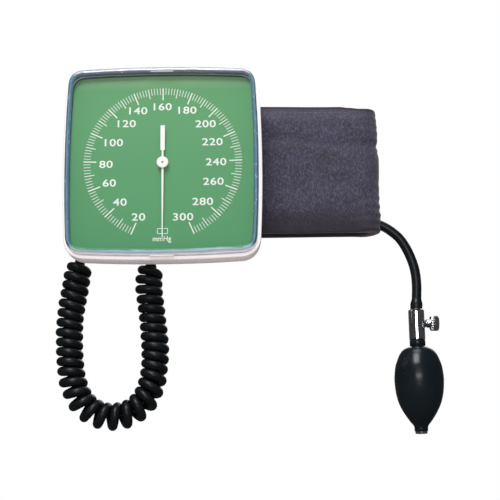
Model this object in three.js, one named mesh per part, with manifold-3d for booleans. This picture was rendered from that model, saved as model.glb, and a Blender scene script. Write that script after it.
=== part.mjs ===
// A wall aneroid sphygmomanometer: a square dial gauge on a wall bracket, with a basket behind
// it that holds the folded upper arm cuff, a coiled hose from gauge to cuff, and a hand bulb
// with its release valve on a second, plain tube. Millimetres, +Z up, +X to the reader's right.
// The origin is on the back of the wall plate, level with the middle of the dial, and the
// dial faces -Y.
import * as THREE from 'three';
import { mergeVertices } from 'three/addons/utils/BufferGeometryUtils.js';
import Module from 'manifold-3d';

const wasm = await Module();
wasm.setup();

// ---- driving dimensions ------------------------------------------------------------------

const GAP = 0.3; // left between pieces that touch on the real object
const OVER = 2; // how far a cutter runs past the face that it opens

const SCALE_RADIUS = 76; // outer ends of the scale marks, a six inch scale
const SIDE_CROWN = 2; // how far each side of the square face bows out

const WALL_PLATE_THICK = 2.5;
const BASKET = { left: -52.5, right: 86, low: -70.5, high: 78.5, wall: 2.5 };
const EAR_THICK = 2.4; // the basket's four ears, screwed to the case
const CASE_BACK_Y = -50;
const CASE_FRONT_Y = -91.7;
const DIAL_LEDGE_Y = -86; // the step inside the mouth of the case that the dial rests on
const CASE_WALL = 3;
const CASE_HALF = 95.5;
const CASE_BACK_HALF = 86;
const CASE_ROUND_DEPTH = 32; // how far forward the rounded back edge reaches
const DIAL_HALF = 89.2;
const DIAL_THICK = 1.2;
const COVER_HALF = 92;
const COVER_WALL = 2.5;
const COVER_FRONT_Y = -106.7;
const SEAL_THICK = 0.8;

const POINTER_TRAVEL_DEG = 337.5; // 0 to 300 mmHg
const TOOTH_MODULE = 0.6;
const PINION_TEETH = 8;
const GEAR_RATIO = 9;
const PINION_RADIUS = (TOOTH_MODULE * PINION_TEETH) / 2;
const SECTOR_RADIUS = PINION_RADIUS * GEAR_RATIO;
const SECTOR_Z = -(PINION_RADIUS + SECTOR_RADIUS);
const SECTOR_REST_DEG = POINTER_TRAVEL_DEG / GEAR_RATIO / 2; // half of its swing, to the right

const CAPSULE = { z: -33, radius: 25, back: -58.3, front: -64.5 };
const INLET_Y = -55.6; // the capsule's inlet spigot
const ROCKER = { y: -69.2, z: -27, half: 0.8, fingerX: 3.5 };
const REAR_PLATE = { back: -71, front: -72.5 }; // movement plates
const FRONT_PLATE = { back: -81.5, front: -83 };

const HOSE_Y = -35.7; // the plane that the coiled hose hangs in
const HOSE_RADIUS = 4.5;
const COIL_RADIUS = 13.5; // outside of the coil's turns
const ELBOW = { x: -76, z: -52, radius: 3, endZ: -68 };
const CONNECTOR_X = -16;

const CUFF = { left: 8, right: 213, low: -59.5, high: 72, front: -48.7, back: -16.7 };
const CUFF_FRONT_LAYER = 15.5;
const CUFF_BACK_LAYER = 13.5;

const BULB_X = 244;
const BULB_Y = -33.7;
const BULB_TUBE_RADIUS = 4.7;
const VALVE = { top: -135.6, bottom: -165.7, radius: 7.7, screwZ: -149.6 };
const BULB = { top: -166, bottom: -254, neck: 7.5, wall: 2.6 };

// ---- finishes ------------------------------------------------------------------------------

const finish = (color, roughness, metalness = 0) => ({ color, roughness, metalness });
const WHITE_ABS = finish(0xe6e4e6, 0.35);
const CLEAR_ACRYLIC = finish(0xcfe0e8, 0.05);
const DIAL_GREEN = finish(0x5ea371, 0.4);
const POINTER_WHITE = finish(0xf2f2f0, 0.4);
const BRASS = finish(0xb89b52, 0.35, 1);
const STEEL = finish(0xb4b6ba, 0.3, 1);
const CHROME = finish(0xd8dade, 0.08, 1);
const ZINC_PLATE = finish(0x9fa3a8, 0.45, 1);
const SPRING_BRONZE = finish(0xa9793f, 0.3, 1);
const BLACK_RUBBER = finish(0x23282c, 0.45);
const BLACK_HOSE = finish(0x1d2226, 0.4);
const SEAL_RUBBER = finish(0x2c3b4a, 0.7);
const NYLON = finish(0x4c485b, 0.85);
const BLADDER_RUBBER = finish(0x3a3034, 0.6);
const PILE = finish(0x3b3848, 0.95);
const BLACK_PLASTIC = finish(0x1c1e21, 0.4);

// ---- helpers -------------------------------------------------------------------------------

const degrees = THREE.MathUtils.degToRad;

// Turns a closed three.js geometry into a solid that can be joined and cut.
function solid(geometry) {
  const bare = geometry.clone();
  bare.deleteAttribute('normal');
  bare.deleteAttribute('uv');
  const merged = mergeVertices(bare, 1e-4);
  const points = merged.attributes.position;
  const triangles = Uint32Array.from(merged.index.array);
  if (signedVolume(points, triangles) < 0) {
    triangles.reverse();
  }
  const mesh = new wasm.Mesh({
    numProp: 3,
    vertProperties: Float32Array.from(points.array),
    triVerts: triangles,
  });
  mesh.merge();
  return new wasm.Manifold(mesh);
}

function signedVolume(points, triangles) {
  const a = new THREE.Vector3();
  const b = new THREE.Vector3();
  const c = new THREE.Vector3();
  let six = 0;
  for (let i = 0; i < triangles.length; i += 3) {
    a.fromBufferAttribute(points, triangles[i]);
    b.fromBufferAttribute(points, triangles[i + 1]);
    c.fromBufferAttribute(points, triangles[i + 2]);
    six += a.dot(b.cross(c));
  }
  return six;
}

function surface(body) {
  const mesh = body.getMesh();
  const geometry = new THREE.BufferGeometry();
  geometry.setAttribute('position', new THREE.BufferAttribute(mesh.vertProperties, 3));
  geometry.setIndex(new THREE.BufferAttribute(mesh.triVerts, 1));
  geometry.computeVertexNormals();
  return geometry;
}

const model = new THREE.Group();

function piece(name, body, look) {
  const material = new THREE.MeshStandardMaterial(look);
  const mesh = new THREE.Mesh(surface(body), material);
  mesh.name = name;
  model.add(mesh);
}

// A box given by its low and high corners.
function block([x0, y0, z0], [x1, y1, z1]) {
  const geometry = new THREE.BoxGeometry(Math.abs(x1 - x0), Math.abs(y1 - y0), Math.abs(z1 - z0));
  geometry.translate((x0 + x1) / 2, (y0 + y1) / 2, (z0 + z1) / 2);
  return solid(geometry);
}

// A round rod between two points.
function rod(from, to, radius, sides = 16) {
  const start = new THREE.Vector3(...from);
  const end = new THREE.Vector3(...to);
  const along = end.clone().sub(start);
  const geometry = new THREE.CylinderGeometry(radius, radius, along.length(), sides);
  const turn = new THREE.Quaternion().setFromUnitVectors(
    new THREE.Vector3(0, 1, 0),
    along.clone().normalize(),
  );
  geometry.applyQuaternion(turn);
  geometry.translate(...start.add(end).multiplyScalar(0.5));
  return solid(geometry);
}

// A cutter for a round hole from backY to frontY, run past both faces.
function hole(x, z, backY, frontY, radius, sides = 12) {
  return rod([x, backY + OVER, z], [x, frontY - OVER, z], radius, sides);
}

// A flat shape drawn in X and Z, made thick from backY towards the reader.
function plate(shape, backY, thick, curveSegments = 4) {
  const geometry = new THREE.ExtrudeGeometry(shape, {
    depth: thick,
    bevelEnabled: false,
    curveSegments,
  });
  geometry.rotateX(Math.PI / 2);
  geometry.translate(0, backY, 0);
  return solid(geometry);
}

// The same with both edges rounded. The shape is the flat end; the rounding adds `out` to it.
function roundedPlate(shape, backY, thick, out, roundDepth, steps) {
  const geometry = new THREE.ExtrudeGeometry(shape, {
    depth: thick - 2 * roundDepth,
    bevelSize: out,
    bevelThickness: roundDepth,
    bevelSegments: steps,
    curveSegments: 4,
  });
  geometry.rotateX(Math.PI / 2);
  geometry.translate(0, backY - roundDepth, 0);
  return solid(geometry);
}

// A turned piece: the profile is [radius, height] pairs that start and end on the axis.
function turned(profile, origin, axis, sides = 24) {
  const points = profile.map(([radius, height]) => new THREE.Vector2(radius, height));
  const geometry = new THREE.LatheGeometry(points, sides);
  const turn = new THREE.Quaternion().setFromUnitVectors(
    new THREE.Vector3(0, 1, 0),
    new THREE.Vector3(...axis),
  );
  geometry.applyQuaternion(turn);
  geometry.translate(...origin);
  return solid(geometry);
}

// A round tube along a smooth curve through the points.
function hose(points, radius, sides, steps) {
  const section = new THREE.Shape();
  for (let i = 0; i < sides; i += 1) {
    const angle = (i / sides) * 2 * Math.PI;
    const corner = [radius * Math.cos(angle), radius * Math.sin(angle)];
    if (i === 0) {
      section.moveTo(...corner);
    } else {
      section.lineTo(...corner);
    }
  }
  const path = new THREE.CatmullRomCurve3(points.map((p) => new THREE.Vector3(...p)));
  const geometry = new THREE.ExtrudeGeometry(section, { steps, extrudePath: path });
  return solid(geometry);
}

// The square face outline: four slightly bowed sides and round corners.
function squareFace(half, corner) {
  const shape = new THREE.Shape();
  const end = half - corner;
  const side = half - SIDE_CROWN;
  const pull = corner * 0.55;
  const slope = (2 * SIDE_CROWN) / end;
  shape.moveTo(-end, side);
  shape.quadraticCurveTo(0, half + SIDE_CROWN, end, side);
  shape.bezierCurveTo(end + pull, side - pull * slope, side - pull * slope, end + pull, side, end);
  shape.quadraticCurveTo(half + SIDE_CROWN, 0, side, -end);
  shape.bezierCurveTo(side - pull * slope, -end - pull, end + pull, -side + pull * slope, end, -side);
  shape.quadraticCurveTo(0, -half - SIDE_CROWN, -end, -side);
  shape.bezierCurveTo(-end - pull, -side + pull * slope, -side + pull * slope, -end - pull, -side, -end);
  shape.quadraticCurveTo(-half - SIDE_CROWN, 0, -side, end);
  shape.bezierCurveTo(-side + pull * slope, end + pull, -end - pull, side - pull * slope, -end, side);
  return shape;
}

function roundedRectangle(x0, z0, x1, z1, radius) {
  const shape = new THREE.Shape();
  shape.moveTo(x0 + radius, z0);
  shape.lineTo(x1 - radius, z0);
  shape.absarc(x1 - radius, z0 + radius, radius, -Math.PI / 2, 0);
  shape.lineTo(x1, z1 - radius);
  shape.absarc(x1 - radius, z1 - radius, radius, 0, Math.PI / 2);
  shape.lineTo(x0 + radius, z1);
  shape.absarc(x0 + radius, z1 - radius, radius, Math.PI / 2, Math.PI);
  shape.lineTo(x0, z0 + radius);
  shape.absarc(x0 + radius, z0 + radius, radius, Math.PI, 1.5 * Math.PI);
  return shape;
}

// A pan head screw whose head lies against the face at faceY and whose shank points along side.
function screw(x, z, faceY, side, { head, shank, length }) {
  const headHeight = head * 0.55;
  const profile = [
    [0, headHeight],
    [head * 0.7, headHeight],
    [head, headHeight * 0.55],
    [head, GAP],
    [shank, GAP],
    [shank, -length],
    [0, -length],
  ];
  const body = turned(profile, [x, faceY, z], [0, -side, 0], 12);
  const slot = block(
    [x - head * 0.15, faceY - side * (headHeight + OVER), z - head * 1.2],
    [x + head * 0.15, faceY - side * (headHeight * 0.55), z + head * 1.2],
  );
  return body.subtract(slot);
}

// ---- wall plate and cuff basket ------------------------------------------------------------

const WALL_HOLES = [[-30, 85], [30, 85], [-30, -74], [30, -74]];
const PLATE_SCREWS = [[-20, 38], [20, 38], [-20, -38], [20, -38]];
const CASE_SCREWS = [[-40, 83.2], [70, 83.2], [-40, -75.2], [70, -75.2]];
const M4 = { head: 4, shank: 2, clearance: 2.3 };
const M2 = { head: 2.6, shank: 1.3, clearance: 1.6 };

function wallPlate() {
  const low = -77;
  let body = plate(roundedRectangle(-45, low, 45, 92, 6), 0, WALL_PLATE_THICK, 3);
  const wallHoleRadius = 2.75;
  for (const [x, z] of WALL_HOLES) {
    body = body.subtract(hole(x, z, 0, -WALL_PLATE_THICK, wallHoleRadius));
    // The lower two holes are open slots, so the plate hooks down over their screws.
    if (z < 0) {
      const [left, right] = [x - wallHoleRadius, x + wallHoleRadius];
      body = body.subtract(block([left, OVER, low - OVER], [right, -WALL_PLATE_THICK - OVER, z]));
    }
  }
  for (const [x, z] of PLATE_SCREWS) {
    body = body.subtract(hole(x, z, 0, -WALL_PLATE_THICK, M4.clearance));
  }
  return body;
}

const BASKET_BACK_Y = -WALL_PLATE_THICK - GAP;
const BASKET_FRONT_Y = CASE_BACK_Y + GAP;
const BASKET_FLOOR_Y = BASKET_BACK_Y - BASKET.wall;

function cuffBasket() {
  const { left, right, low, high, wall } = BASKET;
  const mouthY = BASKET_FRONT_Y - OVER;
  let body = block([left, BASKET_BACK_Y, low], [right, BASKET_FRONT_Y, high]);
  const inside = block([left + wall, BASKET_FLOOR_Y, low + wall], [right + OVER, mouthY, high - wall]);
  // The slot in the lower wall that the hose connector comes up through.
  const slotHalf = 10;
  const slotBackY = -23.7;
  const slot = block(
    [CONNECTOR_X - slotHalf, slotBackY, low - OVER],
    [CONNECTOR_X + slotHalf, mouthY, low + wall + OVER],
  );
  body = body.subtract(inside).subtract(slot);
  const earHalf = 7;
  const earReach = 9;
  const earBackY = BASKET_FRONT_Y + EAR_THICK;
  for (const [x, z] of CASE_SCREWS) {
    const root = z > 0 ? high - 0.5 : low + 0.5;
    const tip = z > 0 ? high + earReach : low - earReach;
    body = body.add(block([x - earHalf, earBackY, root], [x + earHalf, BASKET_FRONT_Y, tip]));
    body = body.subtract(hole(x, z, earBackY, BASKET_FRONT_Y, M4.clearance));
  }
  for (const [x, z] of PLATE_SCREWS) {
    body = body.subtract(hole(x, z, BASKET_BACK_Y, BASKET_FLOOR_Y, M4.clearance));
  }
  return body;
}

piece('wall_plate', wallPlate(), ZINC_PLATE);
piece('cuff_basket', cuffBasket(), WHITE_ABS);
PLATE_SCREWS.forEach(([x, z], i) => {
  const body = screw(x, z, BASKET_FLOOR_Y, 1, { ...M4, length: 4.5 });
  piece(`plate_screw_${i + 1}`, body, STEEL);
});
CASE_SCREWS.forEach(([x, z], i) => {
  const body = screw(x, z, BASKET_FRONT_Y + EAR_THICK, -1, { ...M4, length: 9 });
  piece(`case_screw_${i + 1}`, body, STEEL);
});

// ---- case, seal, dial and clear cover ------------------------------------------------------

const POSTS = [[-32, 10], [32, 10], [-32, -50], [32, -50]]; // moulded posts for the movement
const CATCH = { halfWidth: 11.2, low: 90.9, high: 92.6, height: 3.8 };

const FAR = 120; // past every edge of the case, for cutters
const CASE_FLARE = CASE_HALF - CASE_BACK_HALF;

function rearCase() {
  const whole = roundedPlate(
    squareFace(CASE_BACK_HALF, 12),
    CASE_BACK_Y,
    3 * CASE_ROUND_DEPTH,
    CASE_FLARE,
    CASE_ROUND_DEPTH,
    4,
  );
  const trim = block([-FAR, CASE_FRONT_Y, -FAR], [FAR, 2 * CASE_FRONT_Y, FAR]);
  const hollowEdge = 9;
  const hollow = roundedPlate(
    squareFace(CASE_BACK_HALF - 4, 10),
    CASE_BACK_Y - CASE_WALL,
    CASE_BACK_Y - DIAL_LEDGE_Y - 2 * CASE_WALL,
    CASE_FLARE,
    hollowEdge,
    2,
  );
  const mouth = plate(squareFace(CASE_BACK_HALF + 0.5, 12), DIAL_LEDGE_Y + 2 * CASE_WALL, FAR);
  const recess = plate(squareFace(DIAL_HALF + GAP, 14.8), DIAL_LEDGE_Y, FAR);
  let body = whole.subtract(trim).subtract(hollow).subtract(mouth).subtract(recess);
  const rootY = CASE_BACK_Y - 1;
  const bossRadius = 5;
  const bossLength = 7;
  const bossFrontY = CASE_BACK_Y - CASE_WALL - bossLength;
  for (const [x, z] of CASE_SCREWS) {
    body = body.add(rod([x, rootY, z], [x, bossFrontY, z], bossRadius, 12));
    body = body.subtract(hole(x, z, CASE_BACK_Y, bossFrontY + 2 * OVER, M4.clearance));
  }
  const postRadius = 3;
  for (const [x, z] of POSTS) {
    body = body.add(rod([x, rootY, z], [x, REAR_PLATE.back + GAP, z], postRadius, 12));
    body = body.subtract(hole(x, z, REAR_PLATE.back + 6, REAR_PLATE.back, M2.clearance));
  }
  body = body.subtract(hole(ELBOW.x, ELBOW.z, CASE_BACK_Y, CASE_BACK_Y - CASE_WALL, ELBOW.radius + 1));
  for (const side of [-1, 1]) {
    const tongue = block(
      [-CATCH.halfWidth, CASE_FRONT_Y + 1, side * CATCH.low],
      [CATCH.halfWidth, CASE_FRONT_Y - CATCH.height, side * CATCH.high],
    );
    body = body.add(tongue);
  }
  return body;
}

const SEAL_BACK_Y = CASE_FRONT_Y - GAP;
const COVER_BACK_Y = SEAL_BACK_Y - SEAL_THICK - GAP;
const DIAL_BACK_Y = DIAL_LEDGE_Y - GAP;
const DIAL_FRONT_Y = DIAL_BACK_Y - DIAL_THICK;

// Room for the two catches that stand up from the case, from innerZ outwards.
function catchRoom(innerZ, backY, depth) {
  const cutters = [-1, 1].map((side) =>
    block(
      [-CATCH.halfWidth - GAP, backY + OVER, side * innerZ],
      [CATCH.halfWidth + GAP, backY - depth, side * (CATCH.high + OVER)],
    ),
  );
  return cutters[0].add(cutters[1]);
}

function coverSeal() {
  const outside = plate(squareFace(COVER_HALF - 0.2, 16), SEAL_BACK_Y, SEAL_THICK);
  const inside = plate(squareFace(DIAL_HALF + GAP, 14.5), SEAL_BACK_Y + OVER, SEAL_THICK + 2 * OVER);
  return outside.subtract(inside).subtract(catchRoom(CATCH.low - GAP, SEAL_BACK_Y, OVER));
}

function clearCover() {
  const depth = 40; // more than the cover's own, because its back is cut off
  const edge = 4;
  const face = squareFace(COVER_HALF - edge, 13);
  const outer = roundedPlate(face, COVER_FRONT_Y + depth, depth, edge, edge, 3);
  const behind = block([-FAR, 0, -FAR], [FAR, COVER_BACK_Y, FAR]);
  const insideEdge = 2;
  const inner = roundedPlate(
    squareFace(COVER_HALF - COVER_WALL - insideEdge, 12.5),
    COVER_FRONT_Y + COVER_WALL + depth,
    depth,
    insideEdge,
    insideEdge,
    2,
  );
  const catches = catchRoom(DIAL_HALF - 2, COVER_BACK_Y, CATCH.height - 1.1);
  return outer.subtract(behind).subtract(inner).subtract(catches);
}

function dialPlate() {
  const staffHoleRadius = 4;
  const body = plate(squareFace(DIAL_HALF, 14.5), DIAL_BACK_Y, DIAL_THICK);
  return body.subtract(hole(0, 0, DIAL_BACK_Y, DIAL_FRONT_Y, staffHoleRadius, 16));
}

piece('rear_case', rearCase(), WHITE_ABS);
piece('cover_seal', coverSeal(), SEAL_RUBBER);
piece('front_cover', clearCover(), CLEAR_ACRYLIC);
piece('dial_plate', dialPlate(), DIAL_GREEN);

// ---- pointer -------------------------------------------------------------------------------

const POINTER_BACK_Y = DIAL_FRONT_Y - 3;
const POINTER_THICK = 0.8;
const STAFF_RADIUS = 0.8;
const STAFF_HOLE = STAFF_RADIUS + GAP;

function pointer() {
  const tip = -0.97 * SCALE_RADIUS;
  const weight = { low: 12.3, high: 37, half: 2.15 }; // the bar that balances the blade
  const outline = new THREE.Shape();
  outline.moveTo(-0.5, tip + 1);
  outline.lineTo(0, tip);
  outline.lineTo(0.5, tip + 1);
  outline.lineTo(1.1, -3);
  outline.lineTo(0.9, weight.low);
  outline.lineTo(weight.half, weight.low);
  outline.lineTo(weight.half, weight.high);
  outline.lineTo(-weight.half, weight.high);
  outline.lineTo(-weight.half, weight.low);
  outline.lineTo(-0.9, weight.low);
  outline.lineTo(-1.1, -3);
  const frontY = POINTER_BACK_Y - POINTER_THICK;
  const blade = plate(outline, POINTER_BACK_Y, POINTER_THICK);
  const eye = rod([0, POINTER_BACK_Y, 0], [0, frontY, 0], 3);
  return blade.add(eye).subtract(hole(0, 0, POINTER_BACK_Y, frontY, STAFF_HOLE));
}

const HUB_BACK_Y = POINTER_BACK_Y - POINTER_THICK - GAP;
const HUB_THICK = 1.5;

function pointerHub() {
  const radius = 5.65;
  const edge = 0.5;
  const profile = [
    [STAFF_HOLE, 0],
    [radius, 0],
    [radius, HUB_THICK - edge],
    [radius - edge, HUB_THICK],
    [STAFF_HOLE, HUB_THICK],
    [STAFF_HOLE, 0],
  ];
  return turned(profile, [0, HUB_BACK_Y, 0], [0, -1, 0]);
}

piece('pointer', pointer(), POINTER_WHITE);
piece('pointer_hub', pointerHub(), POINTER_WHITE);

// ---- movement: plates, pillars and posts ---------------------------------------------------

const PILLARS = [[-20, 9], [20, 9], [0, -42]];

const ARBOR_HOLE = 1.3;
const RIVET_HOLE = 1.3;

function pivotHoles({ back, front }) {
  const staff = hole(0, 0, back, front, STAFF_HOLE);
  return staff.add(hole(0, SECTOR_Z, back, front, ARBOR_HOLE));
}

function rearMovementPlate() {
  const { back, front } = REAR_PLATE;
  let body = plate(roundedRectangle(-37, -55, 37, 15, 4), back, back - front, 3);
  body = body.subtract(pivotHoles(REAR_PLATE));
  // Room for the rocker: its pusher swings into the wide part and its finger rises in the narrow.
  const right = ROCKER.fingerX + 2;
  const wide = block([-2, back + OVER, -38], [right, front - OVER, -26.4]);
  const narrow = block([ROCKER.fingerX - 1.4, back + OVER, -27], [right, front - OVER, -22]);
  body = body.subtract(wide).subtract(narrow);
  for (const [x, z] of POSTS) {
    body = body.subtract(hole(x, z, back, front, M2.clearance));
  }
  return body;
}

function frontMovementPlate() {
  const { back, front } = FRONT_PLATE;
  let body = plate(roundedRectangle(-25, -47, 25, 14, 4), back, back - front, 3);
  body = body.subtract(pivotHoles(FRONT_PLATE));
  for (const [x, z] of PILLARS) {
    body = body.subtract(hole(x, z, back, front, RIVET_HOLE));
  }
  return body;
}

piece('movement_plate_rear', rearMovementPlate(), BRASS);
piece('movement_plate_front', frontMovementPlate(), BRASS);
PILLARS.forEach(([x, z], i) => {
  // Each pillar ends in a shouldered stud that rivets into the front plate's hole.
  const pillar = rod([x, REAR_PLATE.front - GAP, z], [x, FRONT_PLATE.back + GAP, z], 2, 12);
  const stud = rod([x, FRONT_PLATE.back + 1, z], [x, FRONT_PLATE.front, z], RIVET_HOLE - GAP, 12);
  piece(`movement_pillar_${i + 1}`, pillar.add(stud), BRASS);
});
POSTS.forEach(([x, z], i) => {
  const body = screw(x, z, REAR_PLATE.front, 1, { ...M2, length: 7 });
  piece(`movement_screw_${i + 1}`, body, STEEL);
});

// ---- pointer staff, pinion, sector gear and hairspring -------------------------------------

const STAFF_BACK_Y = REAR_PLATE.back + 0.4;
const STAFF_FRONT_Y = HUB_BACK_Y - HUB_THICK - 0.4;
const PINION_PLANE = { back: -75.5, front: -78 };
const SECTOR_PLANE = { back: -76, front: -77.5 };
const HAIRSPRING_PLANE = { back: -79, front: -79.8 };
const SECTOR_TEETH = 11;

// The outline of a run of gear teeth about the origin, from startAngle, one tooth each pitch.
function toothRun(pitchRadius, count, startAngle) {
  const pitchAngle = (Math.PI * TOOTH_MODULE) / pitchRadius;
  const outside = pitchRadius + 0.75 * TOOTH_MODULE;
  const root = pitchRadius - 1.25 * TOOTH_MODULE;
  const tipHalf = (0.3 * TOOTH_MODULE) / outside;
  const rootHalf = (0.87 * TOOTH_MODULE) / root;
  const corners = [[root, -rootHalf], [outside, -tipHalf], [outside, tipHalf], [root, rootHalf]];
  const points = [];
  for (let i = 0; i < count; i += 1) {
    const middle = startAngle + (i + 0.5) * pitchAngle;
    for (const [radius, offset] of corners) {
      const angle = middle + offset;
      points.push(new THREE.Vector2(radius * Math.cos(angle), radius * Math.sin(angle)));
    }
  }
  return points;
}

function pinion() {
  // The run starts on the line between the two centres, so a gap faces the sector at rest.
  const { back, front } = PINION_PLANE;
  const outline = new THREE.Shape(toothRun(PINION_RADIUS, PINION_TEETH, -Math.PI / 2));
  return plate(outline, back, back - front).subtract(hole(0, 0, back, front, STAFF_HOLE));
}

function sectorGear() {
  // One tooth lies on the line between the two centres at rest.
  const pitchAngle = (2 * Math.PI) / (PINION_TEETH * GEAR_RATIO);
  const meshing = Math.PI / 2 + degrees(SECTOR_REST_DEG);
  const teethPastMiddle = Math.round(degrees(SECTOR_REST_DEG) / pitchAngle);
  const start = meshing - (teethPastMiddle + SECTOR_TEETH / 2) * pitchAngle;
  const { back, front } = SECTOR_PLANE;
  const rim = toothRun(SECTOR_RADIUS, SECTOR_TEETH, start);
  const web = plate(new THREE.Shape([new THREE.Vector2(0, 0), ...rim]), back, back - front);
  const hub = rod([0, back, 0], [0, front, 0], 2.4, 16);
  // The tail points right and down at rest, and the rocker's finger lifts it.
  const tail = block([0, back, -1], [5.5, front, 1]);
  const window = hole(0, SECTOR_RADIUS / 2, back, front, 2.6);
  const body = web.add(hub).add(tail).subtract(hole(0, 0, back, front, ARBOR_HOLE)).subtract(window);
  // At rest the toothed arc leans to the right of the line between the two centres.
  return body.rotate([0, SECTOR_REST_DEG, 0]).translate([0, 0, SECTOR_Z]);
}

function hairspring() {
  const turns = 3;
  const inner = 2.9;
  const outer = 8.2;
  const strip = 0.3;
  const count = 48;
  const edge = (offset) =>
    Array.from({ length: count + 1 }, (_, i) => {
      const t = i / count;
      const angle = t * turns * 2 * Math.PI;
      const radius = inner + (outer - inner) * t + offset;
      return new THREE.Vector2(radius * Math.cos(angle), radius * Math.sin(angle));
    });
  const outline = new THREE.Shape([...edge(0), ...edge(strip).reverse()]);
  return plate(outline, HAIRSPRING_PLANE.back, HAIRSPRING_PLANE.back - HAIRSPRING_PLANE.front);
}

// The stud that the spring's outer end is pinned to stands on the front movement plate.
function hairspringStud() {
  return block([8.9, HAIRSPRING_PLANE.back + 0.5, -1.2], [10.9, FRONT_PLATE.back + GAP, 1.2]);
}

function ring(inner, outer, backY, thick) {
  const profile = [[inner, 0], [outer, 0], [outer, thick], [inner, thick], [inner, 0]];
  return turned(profile, [0, backY, 0], [0, -1, 0], 20);
}

function sectorArbor() {
  return rod([0, STAFF_BACK_Y, SECTOR_Z], [0, FRONT_PLATE.front - 0.4, SECTOR_Z], ARBOR_HOLE - GAP, 12);
}

piece('pointer_staff', rod([0, STAFF_BACK_Y, 0], [0, STAFF_FRONT_Y, 0], STAFF_RADIUS, 12), STEEL);
piece('pinion', pinion(), BRASS);
piece('hairspring_collet', ring(STAFF_HOLE, 2.3, HAIRSPRING_PLANE.back + 0.4, 1.4), BRASS);
piece('hairspring', hairspring(), SPRING_BRONZE);
piece('hairspring_stud', hairspringStud(), BRASS);
piece('sector_gear', sectorGear(), BRASS);
piece('sector_arbor', sectorArbor(), STEEL);

// ---- pressure capsule, push button and rocker ----------------------------------------------

const BUTTON_RADIUS = 1.6;

function capsule() {
  const { radius, back, front, z } = CAPSULE;
  const depth = back - front;
  const socket = BUTTON_RADIUS + GAP;
  const socketDepth = 2.5;
  const profile = [
    [0, 0],
    [radius * 0.55, 0],
    [radius * 0.66, depth * 0.16],
    [radius * 0.8, 0.1],
    [radius, depth * 0.42],
    [radius, depth * 0.58],
    [radius * 0.8, depth - 0.1],
    [radius * 0.66, depth * 0.84],
    [radius * 0.5, depth * 0.95],
    [radius * 0.2, depth],
    [socket, depth],
    [socket, depth - socketDepth],
    [0, depth - socketDepth],
  ];
  return turned(profile, [0, back, z], [0, -1, 0], 20);
}

function capsuleButton() {
  const startY = CAPSULE.front + 2.2;
  const tipY = ROCKER.y + ROCKER.half + GAP;
  const body = rod([0, startY, CAPSULE.z], [0, tipY + 0.6, CAPSULE.z], BUTTON_RADIUS, 12);
  return body.add(rod([0, tipY + 0.7, CAPSULE.z], [0, tipY, CAPSULE.z], 1, 12));
}

// The brass block that the capsule stands on, with the spigot for the inner tube on its left.
function inletBlock() {
  const backY = CASE_BACK_Y - CASE_WALL - GAP;
  const half = 12.5;
  const body = block([-half, backY, CAPSULE.z - half], [half, CAPSULE.back + GAP, CAPSULE.z + half]);
  return body.add(rod([-half + 1, INLET_Y, CAPSULE.z], [-24, INLET_Y, CAPSULE.z], 1.8, 12));
}

function rocker() {
  const { y, z, half, fingerX } = ROCKER;
  const shaft = rod([-8.6, y, z], [10.6, y, z], 0.9, 12);
  const pusher = block([-1, y - half, z - 9], [1, y + half, z]);
  const finger = block([fingerX - 0.6, y, z - 0.9], [fingerX + 0.6, -78.2, z + 0.2]);
  return shaft.add(pusher).add(finger);
}

function rockerBracket(x) {
  const { y, z } = ROCKER;
  const body = block([x - 1, REAR_PLATE.back + GAP, z - 3.5], [x + 1, y + 2.4, z + 3.5]);
  return body.subtract(rod([x - OVER, y, z], [x + OVER, y, z], 1.2, 12));
}

piece('pressure_capsule', capsule(), SPRING_BRONZE);
piece('capsule_button', capsuleButton(), STEEL);
piece('inlet_block', inletBlock(), BRASS);
piece('rocker', rocker(), STEEL);
piece('rocker_bracket_left', rockerBracket(-7), BRASS);
piece('rocker_bracket_right', rockerBracket(9), BRASS);

// ---- air inlet: inner tube and the elbow behind the case -----------------------------------

const ELBOW_INNER_Y = -60;

const INNER_TUBE_ROUTE = [
  [-24 - GAP, INLET_Y, CAPSULE.z],
  [-38, -56, CAPSULE.z],
  [-54, -61, -38],
  [-67, -67, -45],
  [-74.5, -69, -50],
  [ELBOW.x, -66.5, ELBOW.z],
  [ELBOW.x, ELBOW_INNER_Y - GAP, ELBOW.z],
];

function inletElbow() {
  const { x, z, radius, endZ } = ELBOW;
  const bend = 6;
  const route = [
    [x, ELBOW_INNER_Y, z],
    [x, CASE_BACK_Y, z],
    [x, HOSE_Y - bend - 4, z],
    [x, HOSE_Y - 2, z - 2],
    [x, HOSE_Y, z - bend],
    [x, HOSE_Y, endZ],
  ];
  const flange = rod([x, CASE_BACK_Y + GAP, z], [x, CASE_BACK_Y + 3, z], 6.5, 6);
  return hose(route, radius, 12, 12).add(flange);
}

function elbowNut() {
  const { x, z, radius } = ELBOW;
  const backY = CASE_BACK_Y - CASE_WALL - GAP;
  const frontY = backY - 3;
  const body = rod([x, backY, z], [x, frontY, z], 5, 6);
  return body.subtract(hole(x, z, backY, frontY, radius + GAP));
}

piece('inner_tube', hose(INNER_TUBE_ROUTE, 2.2, 8, 18), BLACK_RUBBER);
piece('inlet_elbow', inletElbow(), CHROME);
piece('elbow_nut', elbowNut(), BRASS);

// ---- coiled hose, its plain ends and the connector -----------------------------------------

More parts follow.
